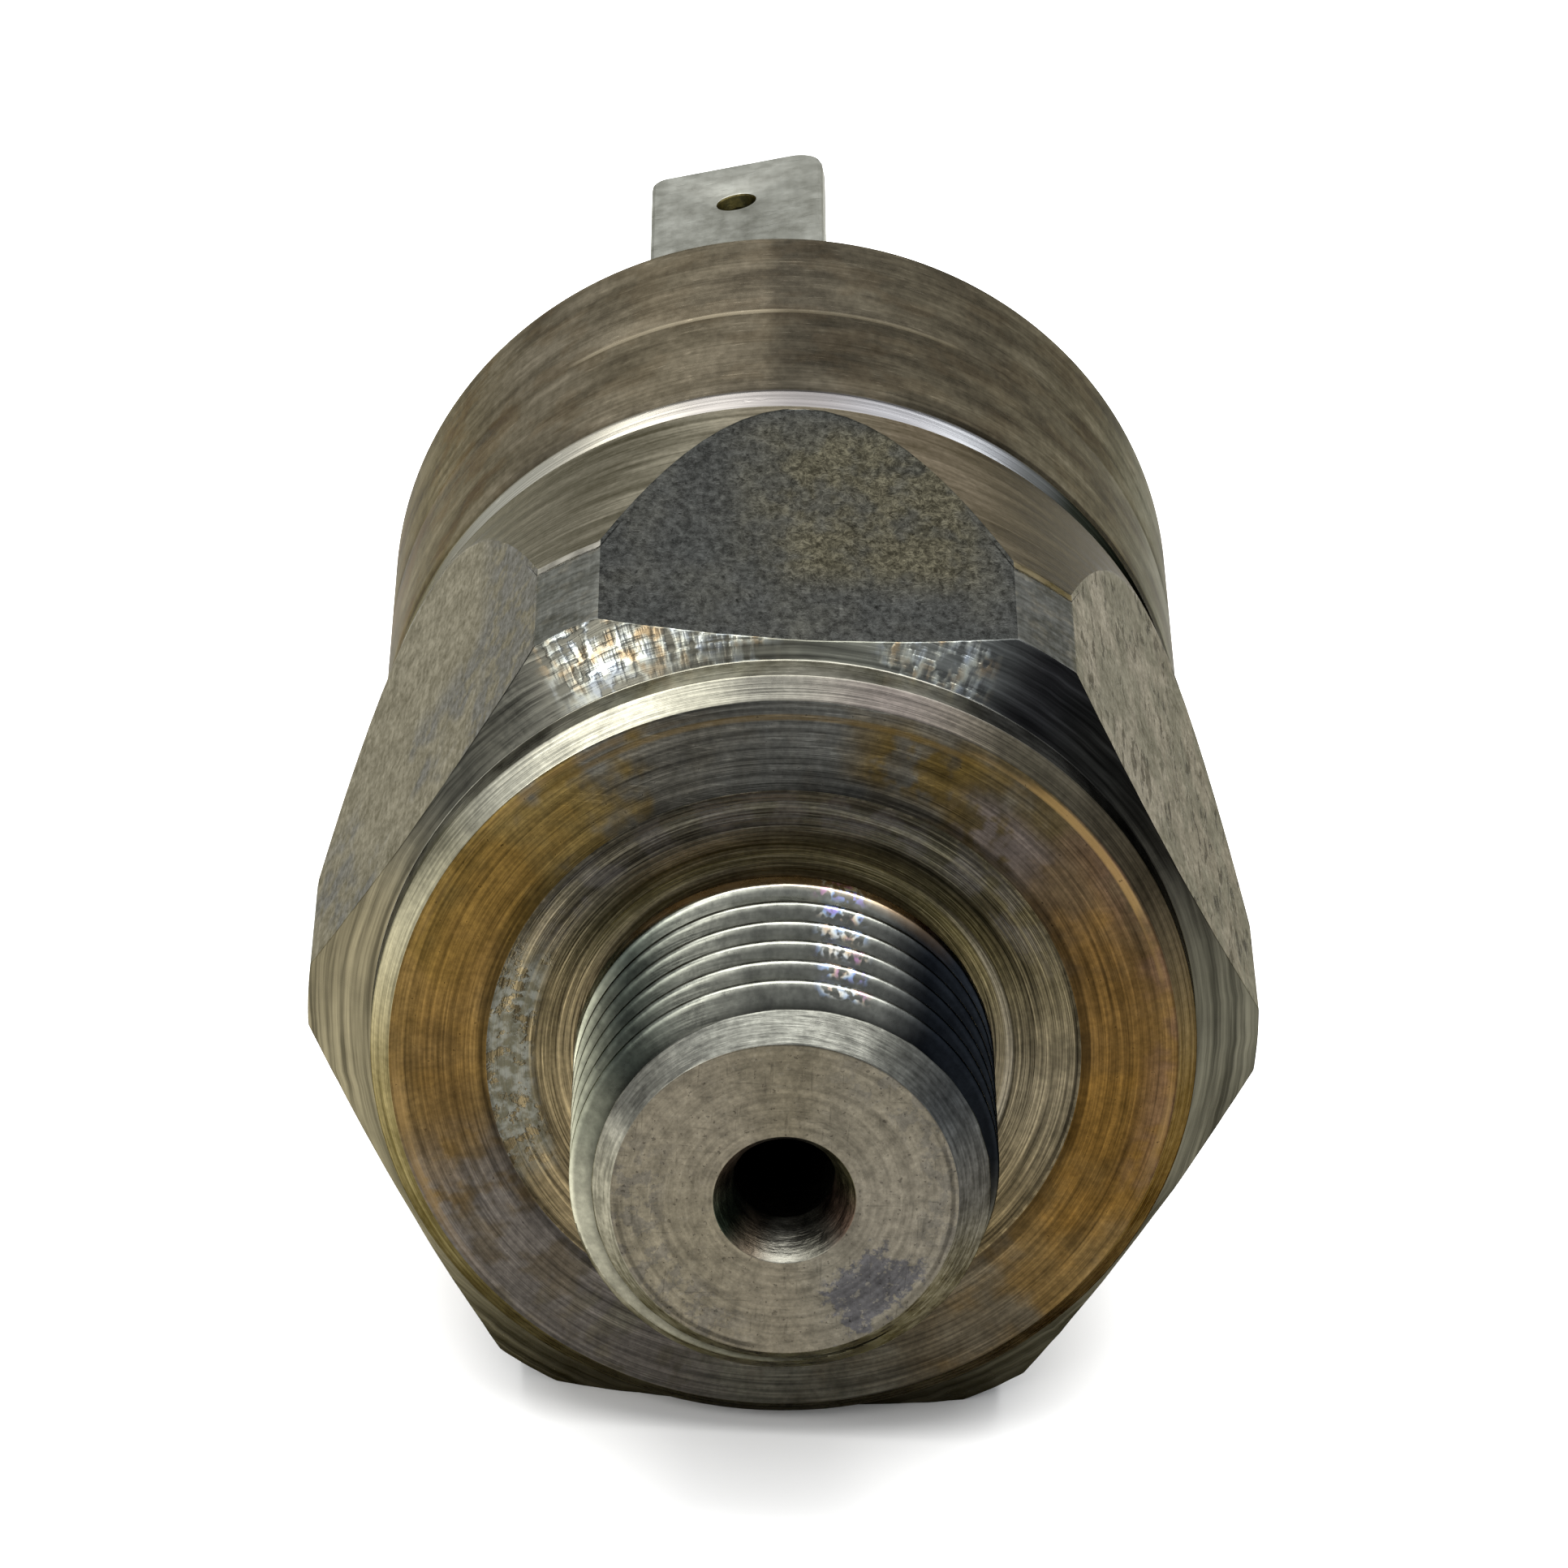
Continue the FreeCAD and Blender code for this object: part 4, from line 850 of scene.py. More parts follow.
# =====================================================================
# meshes
# =====================================================================
def outline(points, closed=True, seg=3, support=0.05):
    """(r, y, corner radius, zone) corners to rows; a zone starts at its corner"""
    rows = []
    n = len(points)
    for i, (r, y, f, zone) in enumerate(points):
        if f <= 0 or (not closed and i in (0, n - 1)):
            rows.append((r, y, zone))
            continue
        p = np.array([r, y], float)
        a = np.array(points[i - 1][:2], float) - p
        b = np.array(points[(i + 1) % n][:2], float) - p
        la, lb = np.hypot(*a), np.hypot(*b)
        a, b = a / la, b / lb
        ang = math.acos(max(-1.0, min(1.0, float(a @ b))))
        if ang > PI - 0.02:
            rows.append((r, y, zone))
            continue
        t = min(f / math.tan(ang / 2), 0.42 * la, 0.42 * lb)
        f = t * math.tan(ang / 2)
        mid = (a + b) / np.hypot(*(a + b))
        c = p + mid * (f / math.sin(ang / 2))
        before = points[i - 1][3]
        pa, pb = p + a * t, p + b * t
        sa, sb = min(support, 0.07 * la), min(support, 0.07 * lb)
        rows.append((*(p + a * (t + sa)), before))
        va, vb = pa - c, pb - c
        for k in range(seg + 1):
            w = k / seg
            turn = math.acos(max(-1.0, min(1.0, float(va @ vb) / (f * f)))) if f > 1e-9 else 0.0
            if turn < 1e-6:
                q = pa * (1 - w) + pb * w
            else:
                q = c + (math.sin((1 - w) * turn) * va + math.sin(w * turn) * vb) / math.sin(turn)
            rows.append((float(q[0]), float(q[1]), zone if k * 2 >= seg else before))
        rows.append((*(p + b * (t + sb)), zone))
    return rows


def columns(per_turn):
    return np.linspace(-PI, PI, per_turn, endpoint=False)


def ring_mesh(name, rows, theta, slots, closed=True, mats=None):
    """a mesh of rows round the axis. A row is (r, y, zone); each may be one value or one per column.
    An open run of rows ends on the axis at both ends."""
    n = len(theta)
    sx, cz = np.sin(theta), np.cos(theta)
    verts, faces, mids = [], [], []
    zone_id = {z: i for i, z in enumerate(slots)}
    start = []
    for i, (r, y, zone) in enumerate(rows):
        start.append(len(verts))
        if not closed and i in (0, len(rows) - 1):
            verts.append((0.0, float(np.mean(y)) * MM, 0.0))
            continue
        r = np.broadcast_to(np.asarray(r, float), (n,))
        y = np.broadcast_to(np.asarray(y, float), (n,))
        verts.extend(np.stack([r * sx, y, r * cz], 1) * MM)
    total = len(rows) if closed else len(rows) - 1
    for i in range(total):
        j = (i + 1) % len(rows)
        zone = rows[i][2]
        zid = [zone_id[z] for z in zone] if isinstance(zone, (list, np.ndarray)) else [zone_id[zone]] * n
        first_pole = not closed and i == 0
        last_pole = not closed and j == len(rows) - 1
        for c in range(n):
            d = (c + 1) % n
            if first_pole:
                faces.append((start[i], start[j] + d, start[j] + c))
            elif last_pole:
                faces.append((start[i] + c, start[i] + d, start[j]))
            else:
                faces.append((start[i] + c, start[i] + d, start[j] + d, start[j] + c))
            mids.append(zid[c])
    me = bpy.data.meshes.new(name)
    me.from_pydata([tuple(v) for v in verts], [], faces)
    me.polygons.foreach_set("material_index", mids)
    for z in slots:
        me.materials.append(M[(mats or {}).get(z, z)])
    return settle(name, me)


def settle(name, me, smooth=True):
    """outward normals, smooth shading, an object in the scene"""
    bm = bmesh.new()
    bm.from_mesh(me)
    bmesh.ops.recalc_face_normals(bm, faces=bm.faces)
    if bm.calc_volume(signed=True) < 0:
        bmesh.ops.reverse_faces(bm, faces=bm.faces)
    for f in bm.faces:
        f.smooth = smooth
    bm.to_mesh(me)
    bm.free()
    me.update()
    ob = bpy.data.objects.new(name, me)
    scene.collection.objects.link(ob)
    return ob


def join_piece(ob, body, nodes):
    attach(ob, body)
    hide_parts(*nodes)
    return ob


def boolean(ob, other, how):
    """ob with other added or taken away; other is used up"""
    mod = ob.modifiers.new("b", "BOOLEAN")
    mod.operation = how
    mod.solver = "EXACT"
    mod.object = other
    dg = bpy.context.evaluated_depsgraph_get()
    me = bpy.data.meshes.new_from_object(ob.evaluated_get(dg), preserve_all_data_layers=True, depsgraph=dg)
    ob.modifiers.remove(mod)
    old = ob.data
    me.name = old.name
    ob.data = me
    bpy.data.meshes.remove(old)
    dead = other.data
    bpy.data.objects.remove(other)
    bpy.data.meshes.remove(dead)
    return ob


def crease(ob, degrees):
    ob.data.polygons.foreach_set("use_smooth", [True] * len(ob.data.polygons))
    ob.data.set_sharp_from_angle(angle=math.radians(degrees))
    return ob


def soft_edges(ob, width, degrees=30.0, seg=2):
    b = ob.modifiers.new("edges", "BEVEL")
    b.width = width * MM
    b.segments = seg
    b.limit_method = "ANGLE"
    b.angle_limit = math.radians(degrees)
    b.harden_normals = False
    return ob


def slab(name, lo, hi, edge, seg=3, turn=0.0, mat=None):
    """a block with rounded edges, turned about the axis by degrees"""
    bm = bmesh.new()
    bmesh.ops.create_cube(bm, size=1.0)
    lo, hi = Vector(lo) * MM, Vector(hi) * MM
    for v in bm.verts:
        v.co = Vector((lo[i] if v.co[i] < 0 else hi[i]) for i in range(3))
    if edge > 0:
        bmesh.ops.bevel(bm, geom=bm.edges[:], offset=edge * MM, segments=seg, affect="EDGES", profile=0.5)
    bmesh.ops.rotate(bm, verts=bm.verts, cent=(0, 0, 0), matrix=Matrix.Rotation(math.radians(turn), 3, "Y"))
    me = bpy.data.meshes.new(name)
    bm.to_mesh(me)
    bm.free()
    if mat:
        me.materials.append(M[mat])
    return settle(name, me)


# --------------------------------------------------- the hexagon fitting
def hex_columns():
    half = math.degrees(math.acos(13.5 / 15.0))
    flat = [half * math.sin(PI / 2 * k / 14.0) for k in range(-14, 15)]
    flat = sorted(set([-half + 0.35, half - 0.35] + flat))
    arc = [half + (60.0 - 2 * half) * k / 10.0 for k in range(1, 10)]
    one = flat + arc
    one = sorted(one + [half + 0.35, 60.0 - half - 0.35])
    cols, delta = [], []
    for s in range(6):
        for d in one:
            cols.append(s * 60.0 + d)
            delta.append(d if d <= 30 else d - 60.0)
    cols = np.radians(np.array(cols))
    cols = (cols + PI) % (2 * PI) - PI
    order = np.argsort(cols)
    return cols[order], np.radians(np.array(delta))[order]


TH, DEL = hex_columns()
NC = len(TH)
rng = np.random.RandomState(7)


def wander(theta, waves, amp, seed):
    """smooth repeatable noise round a turn"""
    rs = np.random.RandomState(seed)
    out = np.zeros_like(theta)
    for k in range(1, waves):
        out += rs.uniform(-1, 1) * np.sin(k * theta + rs.uniform(0, 2 * PI)) / math.sqrt(k)
    return amp * out / (np.abs(out).max() + 1e-9)


R_THREAD, R_ROOT, PITCH = 6.5785, 5.73, 1.337
_d = np.linspace(0, PITCH / 2, 400)
_raw = np.clip((_d - 0.13) / (PITCH / 2 - 0.13 - 0.12), 0, 1)
_full = np.concatenate([_raw[::-1], _raw])
_full = np.tile(_full, 3)
_ker = np.hanning(121)
_ker /= _ker.sum()
_sm = np.convolve(_full, _ker, "same")[len(_full) // 2: len(_full) // 2 + 400]
_sm = (_sm - _sm.min()) / (_sm.max() - _sm.min())


def thread_r(y, theta, first=-1.55, fade_from=-0.72, fade_to=-1.3):
    ph = (y - first) / PITCH - theta / (2 * PI)
    d = np.abs(ph - np.round(ph)) * PITCH
    g01 = np.interp(d, _d, _sm)
    fade = np.clip((fade_from - y) / (fade_from - fade_to), 0, 1)
    fade = fade * fade * (3 - 2 * fade)
    return R_THREAD - (R_THREAD - R_ROOT) * (1 - g01) * fade


def port_rows():
    rows = []
    rows += outline([(1.55, -7.6, 0.1, "mouth"), (1.62, -8.3, 0.3, "mouth"), (1.8, -8.8, 0.5, "mouth"),
                     (2.0, -9.18, 0.4, "mouth"), (2.17, -9.4, 0.05, "stub_face"), (5.3, -9.4, 0.1, "lead"),
                     (5.9, -8.7665, 0.0, "lead")], closed=False)[:-1]
    # the lead-in chamfer and the thread
    for y in np.arange(-9.18, -0.46, 0.036):
        cone = 5.3 + (y + 9.4) * (R_THREAD - 5.3) / 1.35
        th = thread_r(y, TH)
        r = np.minimum(cone, th)
        zone = np.where(cone < th, "lead", "thread")
        rows.append((r, y, zone))
    rows += outline([
        (6.5785, -0.6, 0.0, "thread"), (6.5785, -0.45, 0.08, "relief"), (5.75, 0.0, 0.12, "relief"),
        (5.75, 0.4, 0.2, "recess"), (7.1, 0.4, 0.9, "recess"), (8.0, 0.23, 0.6, "recess"),
        (8.9, 0.12, 0.5, "recess"), (9.3, 0.0, 0.12, "flange"), (12.35, 0.0, 0.05, "rim"),
        (12.95, 0.6, 0.06, "rim"), (12.95, 1.68, 0.08, "chamfer"), (13.4, 1.9412, 0.0, "chamfer"),
    ], closed=False)[1:-1]
    # the hexagon: front cone, flats or bar corners, rear taper
    k = 0.012
    a, b = 13.5 / np.cos(DEL), np.full(NC, 15.0)
    R = -k * np.logaddexp(-a / k, -b / k)
    burr = wander(TH, 120, 0.05, 3) + wander(TH, 30, 0.05, 5)
    yf = 1.68 + (R - 12.95) * 1.19 / 2.05 + burr
    yt = 8.6 + (15.0 - R) / 1.55 * 11.7
    yt = np.minimum(yt, 20.2)
    flat = np.abs(DEL) < math.acos(13.5 / 15.0)
    top = np.abs(TH) < math.radians(30)
    body = np.where(flat, np.where(top, "flat_top", "flat_side"), "strip")
    for t in (0.3, 0.5, 0.7, 0.85):
        rows.append((12.95 + (R - 12.95) * t, 1.68 + (yf - 1.68) * t, "chamfer"))
    rows.append((R - 0.035, yf - 0.02, "chamfer"))
    rows.append((R - 0.012, yf - 0.005, "chamfer"))
    rows.append((R - 0.003, yf + 0.022, body))
    rows.append((R, yf + 0.07, body))
    for t in np.linspace(0.03, 0.94, 26):
        rows.append((R, yf + (yt - yf) * t, body))
    # the corner columns just before the taper take the bright edge finish: painted highlight along that edge
    wear_and_edge_glint = np.where(flat, body, "wear_and_edge_glint")
    rows.append((R, yt - 0.5, wear_and_edge_glint))
    rows.append((R, yt - 0.3, wear_and_edge_glint))
    rows.append((R, yt - 0.08, wear_and_edge_glint))
    rows.append((R - 0.004, yt + 0.08, "taper"))
    for t in (0.04, 0.12, 0.25, 0.4, 0.55, 0.7, 0.85, 0.96):
        rows.append((R + (13.45 - R) * t, yt + (20.24 - yt) * t, "taper"))
    rows += outline([
        (13.46, 20.2, 0.0, "taper"), (13.45, 20.3, 0.03, "neck"), (12.5, 20.3, 0.06, "neck"),
        (12.5, 20.8, 0.03, "neck"), (11.6, 20.8, 0.04, "bore"), (11.6, 27.0, 0.15, "bore"),
        (9.8, 27.0, 0.15, "bore"), (9.8, 17.0, 0.05, "bore"), (9.0, 17.0, 0.1, "bore"),
        (9.0, 12.0, 0.05, "bore"), (8.15, 12.0, 0.05, "bore"), (8.15, 10.9, 0.08, "bore"),
        (6.85, 10.9, 0.08, "bore"), (6.85, 12.0, 0.05, "bore"), (6.0, 12.0, 0.05, "bore"),
        (6.0, 10.9, 0.3, "bore"), (1.6, 10.9, 0.1, "bore"), (1.6, 5.0, 0.0, "bore"),
    ], closed=False)[1:]
    rows.append((1.6, 0.0, "bore"))
    rows.append((1.6, -7.3, "bore"))
    return rows


PORT_ZONES = ["mouth", "relief", "wear_and_edge_glint", "stub_face", "lead", "thread", "recess", "flange", "rim", "chamfer", "strip",
              "flat_top", "flat_side", "taper", "neck", "bore"]
port = ring_mesh("port_fitting", port_rows(), TH, PORT_ZONES)
join_piece(port, "housing", ["port_body"])

# --------------------------------------------------- the rolled-on collar
COL = columns(256)
sleeve = ring_mesh("collar_sleeve", outline([
    (11.6, 20.8, 0.05, "sleeve"), (12.6, 20.8, 0.12, "sleeve"), (13.08, 21.55, 0.35, "sleeve"),
    (13.24, 22.0, 0.25, "sleeve"), (13.3, 22.7, 1.2, "sleeve"), (13.3, 28.5, 0.0, "sleeve"),
    (13.288, 28.6, 0.0, "sleeve"), (13.288, 28.72, 0.0, "sleeve"), (13.3, 28.82, 0.0, "sleeve"),
    (13.3, 35.0, 0.25, "sleeve"), (12.9, 35.4, 0.25, "sleeve"), (10.4, 35.4, 0.3, "sleeve"),
    (10.4, 34.6, 0.1, "sleeve"), (11.6, 34.6, 0.1, "sleeve"),
], seg=4), COL, ["sleeve"])
join_piece(sleeve, "housing", ["housing_sleeve"])

# --------------------------------------------------- the moulded terminal base
PHI = 14.5
base = ring_mesh("terminal_carrier", outline([
    (4.2, 25.0, 0.15, "insulator"), (9.7, 25.0, 0.2, "insulator"), (9.7, 27.0, 0.1, "insulator"),
    (11.6, 27.0, 0.1, "insulator"), (11.6, 29.4, 0.08, "insulator"), (10.5, 29.4, 0.08, "insulator"),
    (10.5, 30.6, 0.08, "insulator"), (11.6, 30.6, 0.08, "insulator"), (11.6, 33.8, 0.05, "insulator"),
    (9.0, 33.8, 0.3, "insulator"), (9.0, 45.1, 0.25, "insulator"), (8.6, 45.5, 0.3, "insulator"),
    (4.0, 45.5, 0.25, "insulator"), (4.0, 44.0, 0.1, "insulator"), (4.8, 44.0, 0.0, "insulator"),
    (4.8, 42.0, 0.0, "insulator"), (4.4, 41.8, 0.0, "insulator"), (4.4, 41.2, 0.0, "insulator"),
    (4.8, 41.0, 0.0, "insulator"), (4.8, 39.0, 0.0, "insulator"), (4.2, 39.0, 0.0, "insulator"),
]), columns(144), ["insulator"])
for turn in (-PHI, 180.0 - PHI):
    lump = slab("lump", (-0.1 - 3.6, 44.3, 5.9), (-0.1 + 3.6, 46.3, 7.75), 0.3, 4, turn, "insulator")
    boolean(base, lump, "UNION")
for turn in (-PHI, 180.0 - PHI):
    way = slab("way", (-0.1 - 3.16, 24.0, 6.59), (-0.1 + 3.16, 49.3, 7.41), 0.0, 1, turn, "insulator")
    boolean(base, way, "DIFFERENCE")
crease(base, 32)
join_piece(base, "housing", ["terminal_base"])


# --------------------------------------------------- blade terminals
def blade(name, turn):
    cx, half, tip = -0.1, 3.15, 56.8
    outer = [(cx - half, 24.2), (cx + half, 24.2)]
    # the sheared corners are rounded, one more than the other
    for k in range(9):
        w = PI / 2 * k / 8
        outer.append((cx + half - 1.15 * (1 - math.cos(w)), tip - 1.35 * (1 - math.sin(w))))
    for k in range(7):
        w = PI / 2 * k / 6
        outer.append((cx - half + 0.55 * (1 - math.sin(w)), tip - 0.75 * (1 - math.cos(w))))
    outer = np.array(outer)
    hole = np.array([(cx + 0.75 * math.cos(a), 53.2 + 0.75 * math.sin(a)) for a in np.linspace(0, 2 * PI, 48, endpoint=False)])

    def inset(poly, d):
        out = []
        for i in range(len(poly)):
            a = poly[i] - poly[i - 1]
            b = poly[(i + 1) % len(poly)] - poly[i]
            na = np.array([-a[1], a[0]]) / np.hypot(*a)
            nb = np.array([-b[1], b[0]]) / np.hypot(*b)
            m = na + nb
            m /= m @ na
            out.append(poly[i] + m * d)
        return np.array(out)

    bm = bmesh.new()

    def loop(poly, z):
        return [bm.verts.new((p[0] * MM, p[1] * MM, z * MM)) for p in poly]

    def wall(a, b, mat):
        for i in range(len(a)):
            j = (i + 1) % len(a)
            f = bm.faces.new((a[i], a[j], b[j], b[i]))
            f.material_index = mat

    lo, hi = 6.6, 7.4
    steps = ((0.16, 0.0), (0.05, 0.05), (0.0, 0.16))
    lower = [loop(inset(outer, d), lo + h) for d, h in steps]
    upper = [loop(inset(outer, d), hi - h) for d, h in reversed(steps)]
    stack = lower + upper
    for i in range(len(stack) - 1):
        wall(stack[i], stack[i + 1], 0 if i != 2 else 0)
    # the detent hole: dimpled from the outer side, then punched through
    holes = ((0.0, lo), (0.02, lo + 0.02), (0.2, lo + 0.1), (0.24, lo + 0.16), (0.26, hi - 0.42),
             (0.22, hi - 0.36), (0.06, hi - 0.07), (0.02, hi - 0.02), (-0.03, hi))
    hs = [loop(inset(hole, d), z) for d, z in holes]
    for i in range(len(hs) - 1):
        # the middle of the hole's wall takes the near-black finish, painted shade; the rings next to it take the brass
        # edge
        wall(hs[i], hs[i + 1], 2 if 1 < i < 6 else (1 if 0 < i < 7 else 0))
    for ring, hring in ((stack[0], hs[0]), (stack[-1], hs[-1])):
        edges = []
        for loopv in (ring, hring):
            for i in range(len(loopv)):
                e = bm.edges.get((loopv[i], loopv[(i + 1) % len(loopv)]))
                edges.append(e)
        bmesh.ops.triangle_fill(bm, use_beauty=True, use_dissolve=False, edges=edges)
    bmesh.ops.rotate(bm, verts=bm.verts, cent=(0, 0, 0), matrix=Matrix.Rotation(math.radians(turn), 3, "Y"))
    me = bpy.data.meshes.new(name)
    bm.to_mesh(me)
    bm.free()
    me.materials.append(M["blade"])
    me.materials.append(M["blade_edge"])
    me.materials.append(M["hole_wall"])
    ob = settle(name, me)
    foot = slab("foot", (-2.2, 24.2, 4.5), (2.2, 25.0, 7.0), 0.08, 2, turn, "blade")
    boolean(ob, foot, "UNION")
    crease(ob, 24)
    return ob


join_piece(blade("blade_upper", -PHI), "housing", ["terminal_blade_upper"])
join_piece(blade("blade_lower", 180.0 - PHI), "housing", ["terminal_blade_lower"])

# --------------------------------------------------- rings, washers, seals
washer = ring_mesh("lip_ring", outline([
    (9.2, 33.8, 0.12, "washer"), (11.6, 33.8, 0.1, "washer"), (11.6, 34.6, 0.1, "washer"), (9.2, 34.6, 0.14, "washer"),
]), columns(160), ["washer"])
join_piece(washer, "housing", ["crimp_washer"])


def toroid(name, major, minor, y, flash=0.02):
    rows = []
    for k in range(28):
        a = 2 * PI * k / 28
        m = minor - flash * 0.5 + (flash * 0.5 if k in (0, 14) else 0.0)
        rows.append((major + m * math.cos(a), y + m * math.sin(a), "rubber"))
    return ring_mesh(name, rows, columns(128), ["rubber"])


join_piece(toroid("base_seal_ring", 11.05, 0.55, 30.0), "housing", ["housing_o_ring"])
join_piece(toroid("diaphragm_seal_ring", 7.5, 0.55, 11.45), "housing", ["diaphragm_o_ring"])

disc = ring_mesh("membrane", outline([
    (0, 12.0, 0, "rubber"), (5.0, 12.0, 0.3, "rubber"), (5.3, 12.06, 0.3, "rubber"), (5.9, 12.06, 0.3, "rubber"),
    (6.2, 12.0, 0.3, "rubber"), (9.0, 12.0, 0.08, "rubber"), (9.0, 12.8, 0.08, "rubber"), (0, 12.8, 0, "rubber"),
], closed=False), columns(128), ["rubber"], closed=False)
join_piece(disc, "housing", ["diaphragm"])

clamp = ring_mesh("clamping_ring", outline([
    (5.05, 12.8, 0.25, "inner"), (9.0, 12.8, 0.15, "inner"), (9.0, 17.0, 0.25, "inner"), (5.05, 17.0, 0.2, "inner"),
]), columns(144), ["inner"])
join_piece(clamp, "housing", ["clamp_ring"])

piston = ring_mesh("piston_slug", outline([
    (0, 12.8, 0, "inner"), (4.7, 12.8, 0.12, "inner"), (5.0, 13.1, 0.12, "inner"), (5.0, 14.6, 0.04, "inner"),
    (4.9, 14.7, 0.04, "inner"), (4.9, 15.1, 0.04, "inner"), (5.0, 15.2, 0.04, "inner"), (5.0, 17.0, 0.15, "inner"),
    (3.0, 17.0, 0.1, "inner"), (3.0, 17.6, 0.1, "inner"), (0, 17.6, 0, "inner"),
], closed=False), columns(128), ["inner"], closed=False)
join_piece(piston, "pusher", ["pressure_piston"])

stem = ring_mesh("plunger_stem", outline([
    (0, 17.6, 0, "pusher"), (4.4, 17.6, 0.15, "pusher"), (4.4, 18.8, 0.2, "pusher"), (2.2, 18.8, 0.12, "pusher"),
    (2.2, 22.1, 0.03, "pusher"), (1.9, 22.1, 0.05, "pusher"), (1.9, 22.6, 0.05, "pusher"), (2.2, 22.6, 0.03, "pusher"),
    (2.2, 25.0, 0.15, "pusher"), (0, 25.0, 0, "pusher"),
], closed=False), columns(112), ["pusher"], closed=False)
join_piece(stem, "pusher", ["plunger"])

low = ring_mesh("spring_seat_low", outline([
    (0, 25.0, 0, "inner"), (3.9, 25.0, 0.15, "inner"), (3.9, 26.0, 0.12, "inner"), (2.3, 26.0, 0.12, "inner"),
    (2.3, 27.2, 0.3, "inner"), (0, 27.2, 0, "inner"),
], closed=False), columns(112), ["inner"], closed=False)
join_piece(low, "pusher", ["lower_spring_seat"])

high = ring_mesh("spring_seat_high", outline([
    (0, 34.8, 0, "inner"), (2.3, 34.8, 0.3, "inner"), (2.3, 36.0, 0.12, "inner"), (3.9, 36.0, 0.12, "inner"),
    (3.9, 37.2, 0.15, "inner"), (0, 37.2, 0, "inner"),
], closed=False), columns(112), ["inner"], closed=False)
join_piece(high, "adjuster_seat", ["upper_spring_seat"])


# --------------------------------------------------- springs
def coil(name, mean, wire, turns, y0, y1, around=14, per_turn=44, part=(0.0, 1.0)):
    """round wire; the ends are ground flat on the planes y0 and y1; part picks a share of its length"""
    n = int(turns * per_turn) + 1
    t = np.linspace(0, 1, n)
    t = t[int(round(part[0] * (n - 1))):int(round(part[1] * (n - 1))) + 1]
    n = len(t)
    a = 2 * PI * turns * t
    # the end turns lie closer together, as wound springs have them
    ease = t + 0.018 * np.sin(2 * PI * t) * -1.0
    yc = y0 + (y1 - y0) * ease
    verts, faces = [], []
    slope = (y1 - y0) / (2 * PI * turns * mean)
    for i in range(n):
        for k in range(around):
            w = 2 * PI * k / around
            dr, dy = wire * math.cos(w), wire * math.sin(w)
            y = yc[i] + dy / math.sqrt(1 + slope * slope)
            y = min(max(y, y0), y1)
            # the helix is drawn from +X round towards -Z, as in the CAD model
            verts.append(((mean + dr) * math.cos(a[i]) * MM, y * MM, -(mean + dr) * math.sin(a[i]) * MM))
    for i in range(n - 1):
        for k in range(around):
            q = (k + 1) % around
            faces.append((i * around + k, i * around + q, (i + 1) * around + q, (i + 1) * around + k))
    faces.append(tuple(range(around)))
    faces.append(tuple((n - 1) * around + k for k in range(around)))
    me = bpy.data.meshes.new(name)
    me.from_pydata(verts, [], faces)
    me.materials.append(M["wire"])
    ob = settle(name, me)
    crease(ob, 40)
    return ob


def spring_piece(ob):
    """bakes the object's transform into its mesh"""
    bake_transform(ob)
    return ob


# the range spring stands between two bodies that both move; it is made in two lengths that meet a quarter of the way up
low = spring_piece(coil("range_coil_lower", 3.12, 0.5, 6.0, 26.0, 36.0, part=(0.0, 0.25)))
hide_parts("range_spring")
spring_piece(coil("range_coil_upper", 3.12, 0.5, 6.0, 26.0, 36.0, part=(0.25, 1.0)))
over = spring_piece(coil("overtravel_coil", 2.72, 0.22, 3.5, 18.8, 21.6, 10))
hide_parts("contact_spring")

# --------------------------------------------------- the adjusting screw
SC = columns(96)


def screw_rows():
    p = 0.75
    rows = outline([(0, 37.2, 0, "screw"), (2.4, 37.2, 0.1, "screw"), (2.6, 37.4, 0, "screw")], closed=False)[:-1]
    for y in np.arange(37.5, 43.6, 0.05):
        ph = y / p - SC / (2 * PI)
        d = np.abs(ph - np.round(ph)) * 2
        full = 2.5 + 0.45 * np.clip((d - 0.15) / 0.6, 0, 1)
        cap = min(2.95, 2.45 + (y - 37.25) * 1.0, 2.95 - max(0.0, y - 43.45) * 0.0)
        fade = np.clip((43.3 - y) / 0.5, 0, 1)
        rows.append((np.minimum(2.95 - (2.95 - full) * fade, cap), y, "screw"))
    rows += outline([(2.95, 43.62, 0, "screw"), (2.95, 43.85, 0.04, "screw"), (2.6, 44.2, 0.06, "screw"),
                     (0, 44.2, 0, "screw")], closed=False)[1:]
    return rows


screw = ring_mesh("adjuster", screw_rows(), SC, ["screw"], closed=False)
slot = slab("slot", (-0.45, 42.9, -4.0), (0.45, 45.0, 4.0), 0.0, 1, 0.0, "screw")
boolean(screw, slot, "DIFFERENCE")
crease(screw, 36)
join_piece(screw, "adjuster_screw", ["adjusting_screw"])


# --------------------------------------------------- CAD nodes that keep their shape
def carry(node, mat, edge=0.06):
    ob = NODES[node]
    ob.data.materials.clear()
    ob.data.materials.append(M[mat])
    if edge:
        soft_edges(ob, edge)


carry("contact_bridge", "contact_brass", 0.05)
carry("moving_contacts", "silver", 0.08)
carry("fixed_contacts", "silver", 0.08)
carry("bridge_clip", "wire", 0.05)
carry("adjuster_insert", "brass", 0.08)

# =====================================================================
# the studio
# =====================================================================
floor_z = CAD_BOX[0][2]


def mat_floor():
    n = Net("studio_floor", metallic=0.0, rough=0.9, ior=1.45)
    n.b.inputs["Specular IOR Level"].default_value = 0.1
    soft = n.noise(None, 0.004, 2.0, 0.5)
    col = n.mix(soft, (0.86, 0.86, 0.86, 1.0), (0.9, 0.9, 0.895, 1.0))
    return n.finish(col)


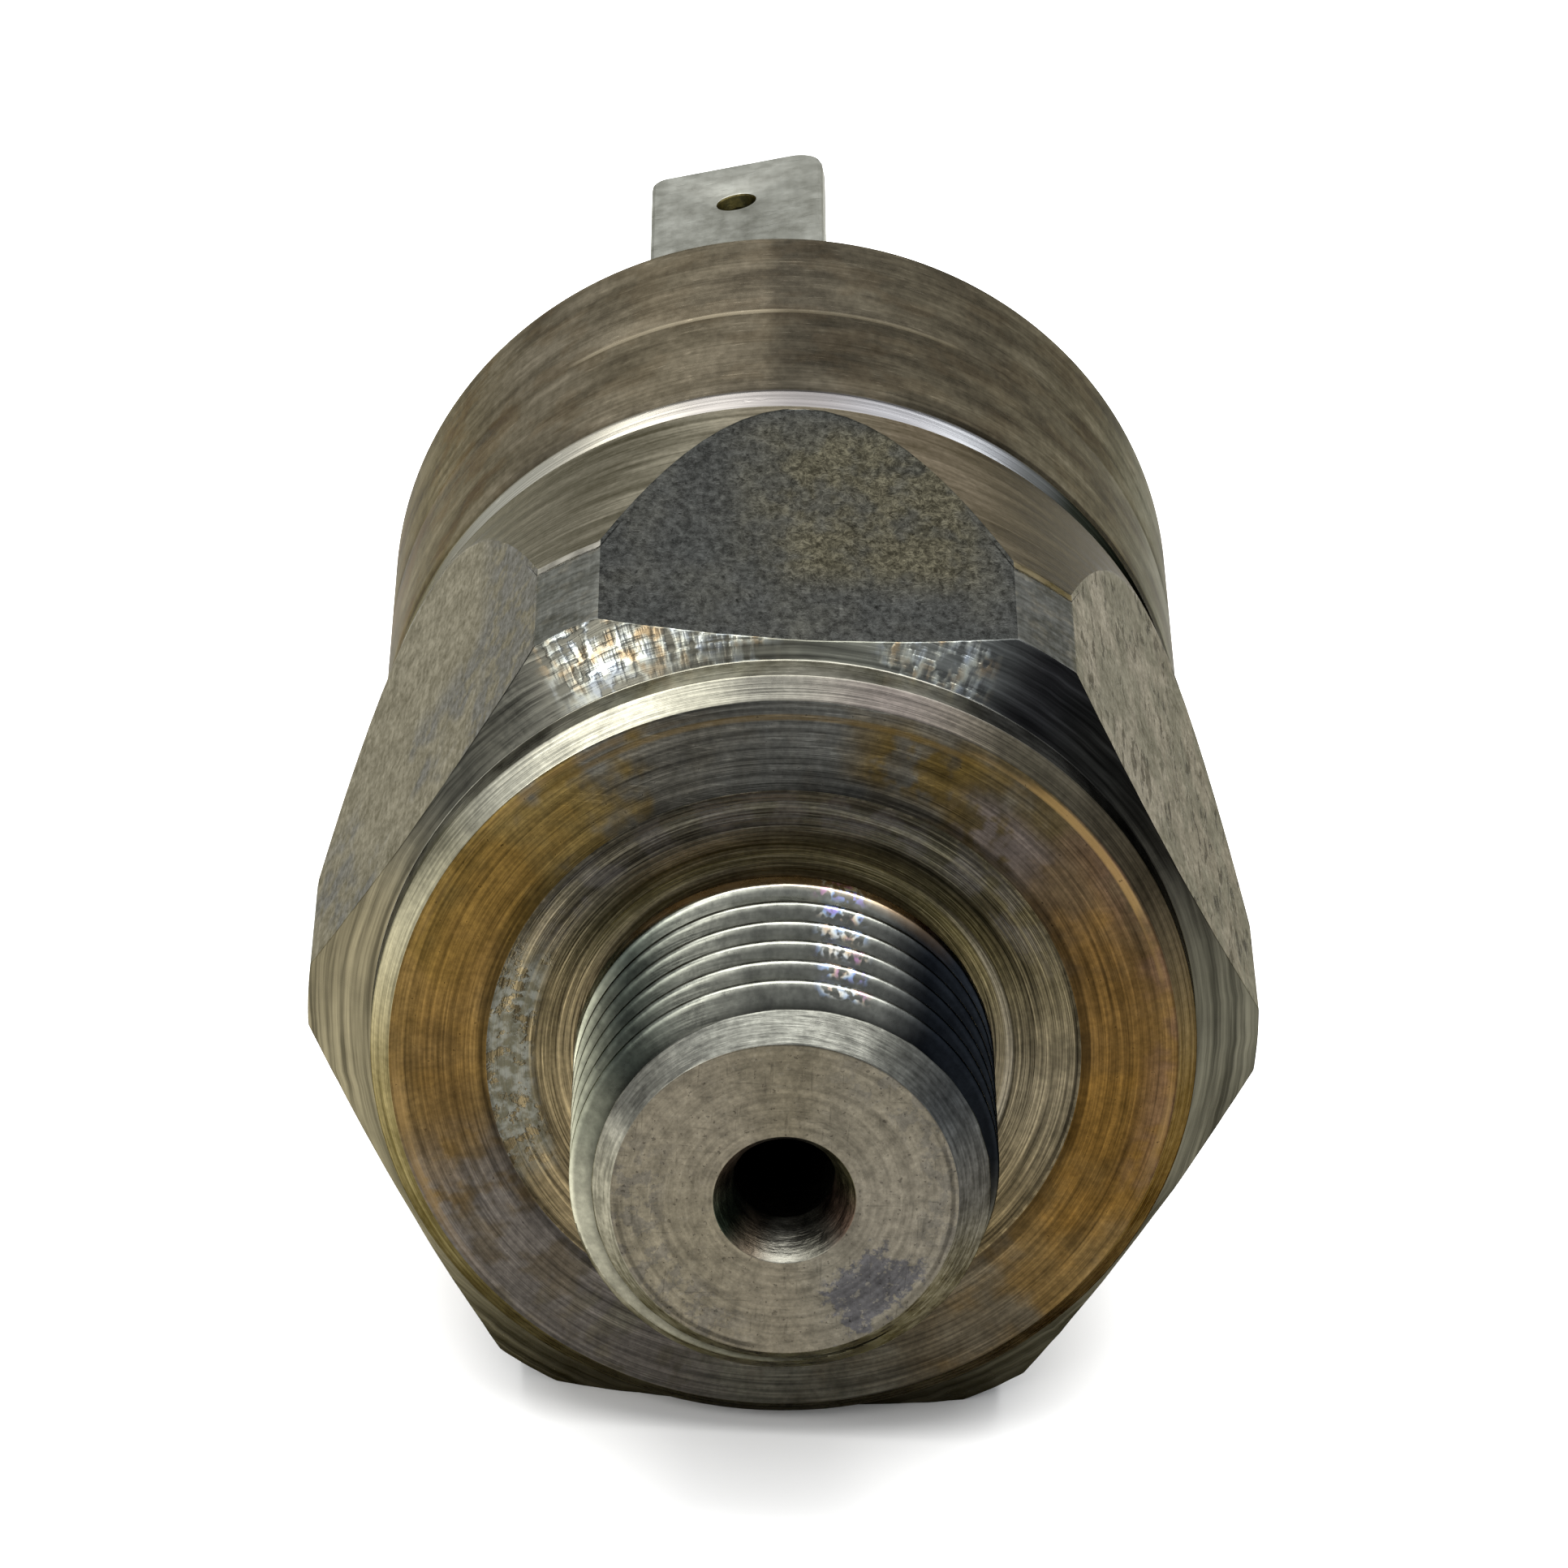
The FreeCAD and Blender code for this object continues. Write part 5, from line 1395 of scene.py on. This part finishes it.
bm = bmesh.new()
bmesh.ops.create_grid(bm, x_segments=2, y_segments=2, size=3.0)
fm = bpy.data.meshes.new("studio_floor")
bm.to_mesh(fm)
bm.free()
fm.materials.append(mat_floor())
floor = bpy.data.objects.new("studio_floor", fm)
floor.location = (0, 0, floor_z - 0.00002)
scene.collection.objects.link(floor)

world = bpy.data.worlds.new("studio")
scene.world = world
world.use_nodes = True
bg = world.node_tree.nodes["Background"]
bg.inputs["Color"].default_value = (0.95, 0.97, 1.0, 1.0)
bg.inputs["Strength"].default_value = 0.99


def softbox(name, at, to, size, watts, colour=(1, 1, 1)):
    d = bpy.data.lights.new(name, "AREA")
    d.shape = "RECTANGLE"
    d.size, d.size_y = size
    d.energy = watts
    d.color = colour
    ob = bpy.data.objects.new(name, d)
    ob.location = at
    ob.rotation_euler = (Vector(to) - Vector(at)).to_track_quat("-Z", "Y").to_euler()
    scene.collection.objects.link(ob)
    return ob


softbox("overhead", (0.0, 0.05, 0.8), (0.0, 0.01, 0.0), (1.25, 1.0), 25.5, (1.0, 0.995, 0.98))
softbox("front_left", (-0.55, -0.75, 0.5), (0.0, 0.0, 0.0), (0.4, 0.4), 4.5, (1.0, 0.98, 0.94))

cam = bpy.data.cameras.new("camera")
cam.sensor_fit = "HORIZONTAL"
cam.sensor_width = 36.0
cam.lens = 11718.845 / 1932.0 * 36.0
cam.shift_x = -(963.861 - 966.0) / 1932.0
cam.shift_y = (981.966 - 966.0) / 1932.0
cam.clip_start = 0.01
cam.clip_end = 20.0
cam_ob = bpy.data.objects.new("camera", cam)
right = Vector((0.99848687, -0.00273703, 0.05492241))
down = Vector((0.04830041, -0.43379292, -0.89971705))
ahead = Vector((0.0262875, 0.90100844, -0.43300434))
rot = Matrix((right, -down, -ahead)).transposed()
cam_ob.matrix_world = Matrix.Translation(Vector((-8.25628, -264.40663, 136.12852)) * MM) @ rot.to_4x4()
scene.collection.objects.link(cam_ob)
scene.camera = cam_ob
scene.view_settings.view_transform = "Standard"
scene.view_settings.look = "None"
scene.view_settings.exposure = 0.0

bpy.context.view_layer.update()
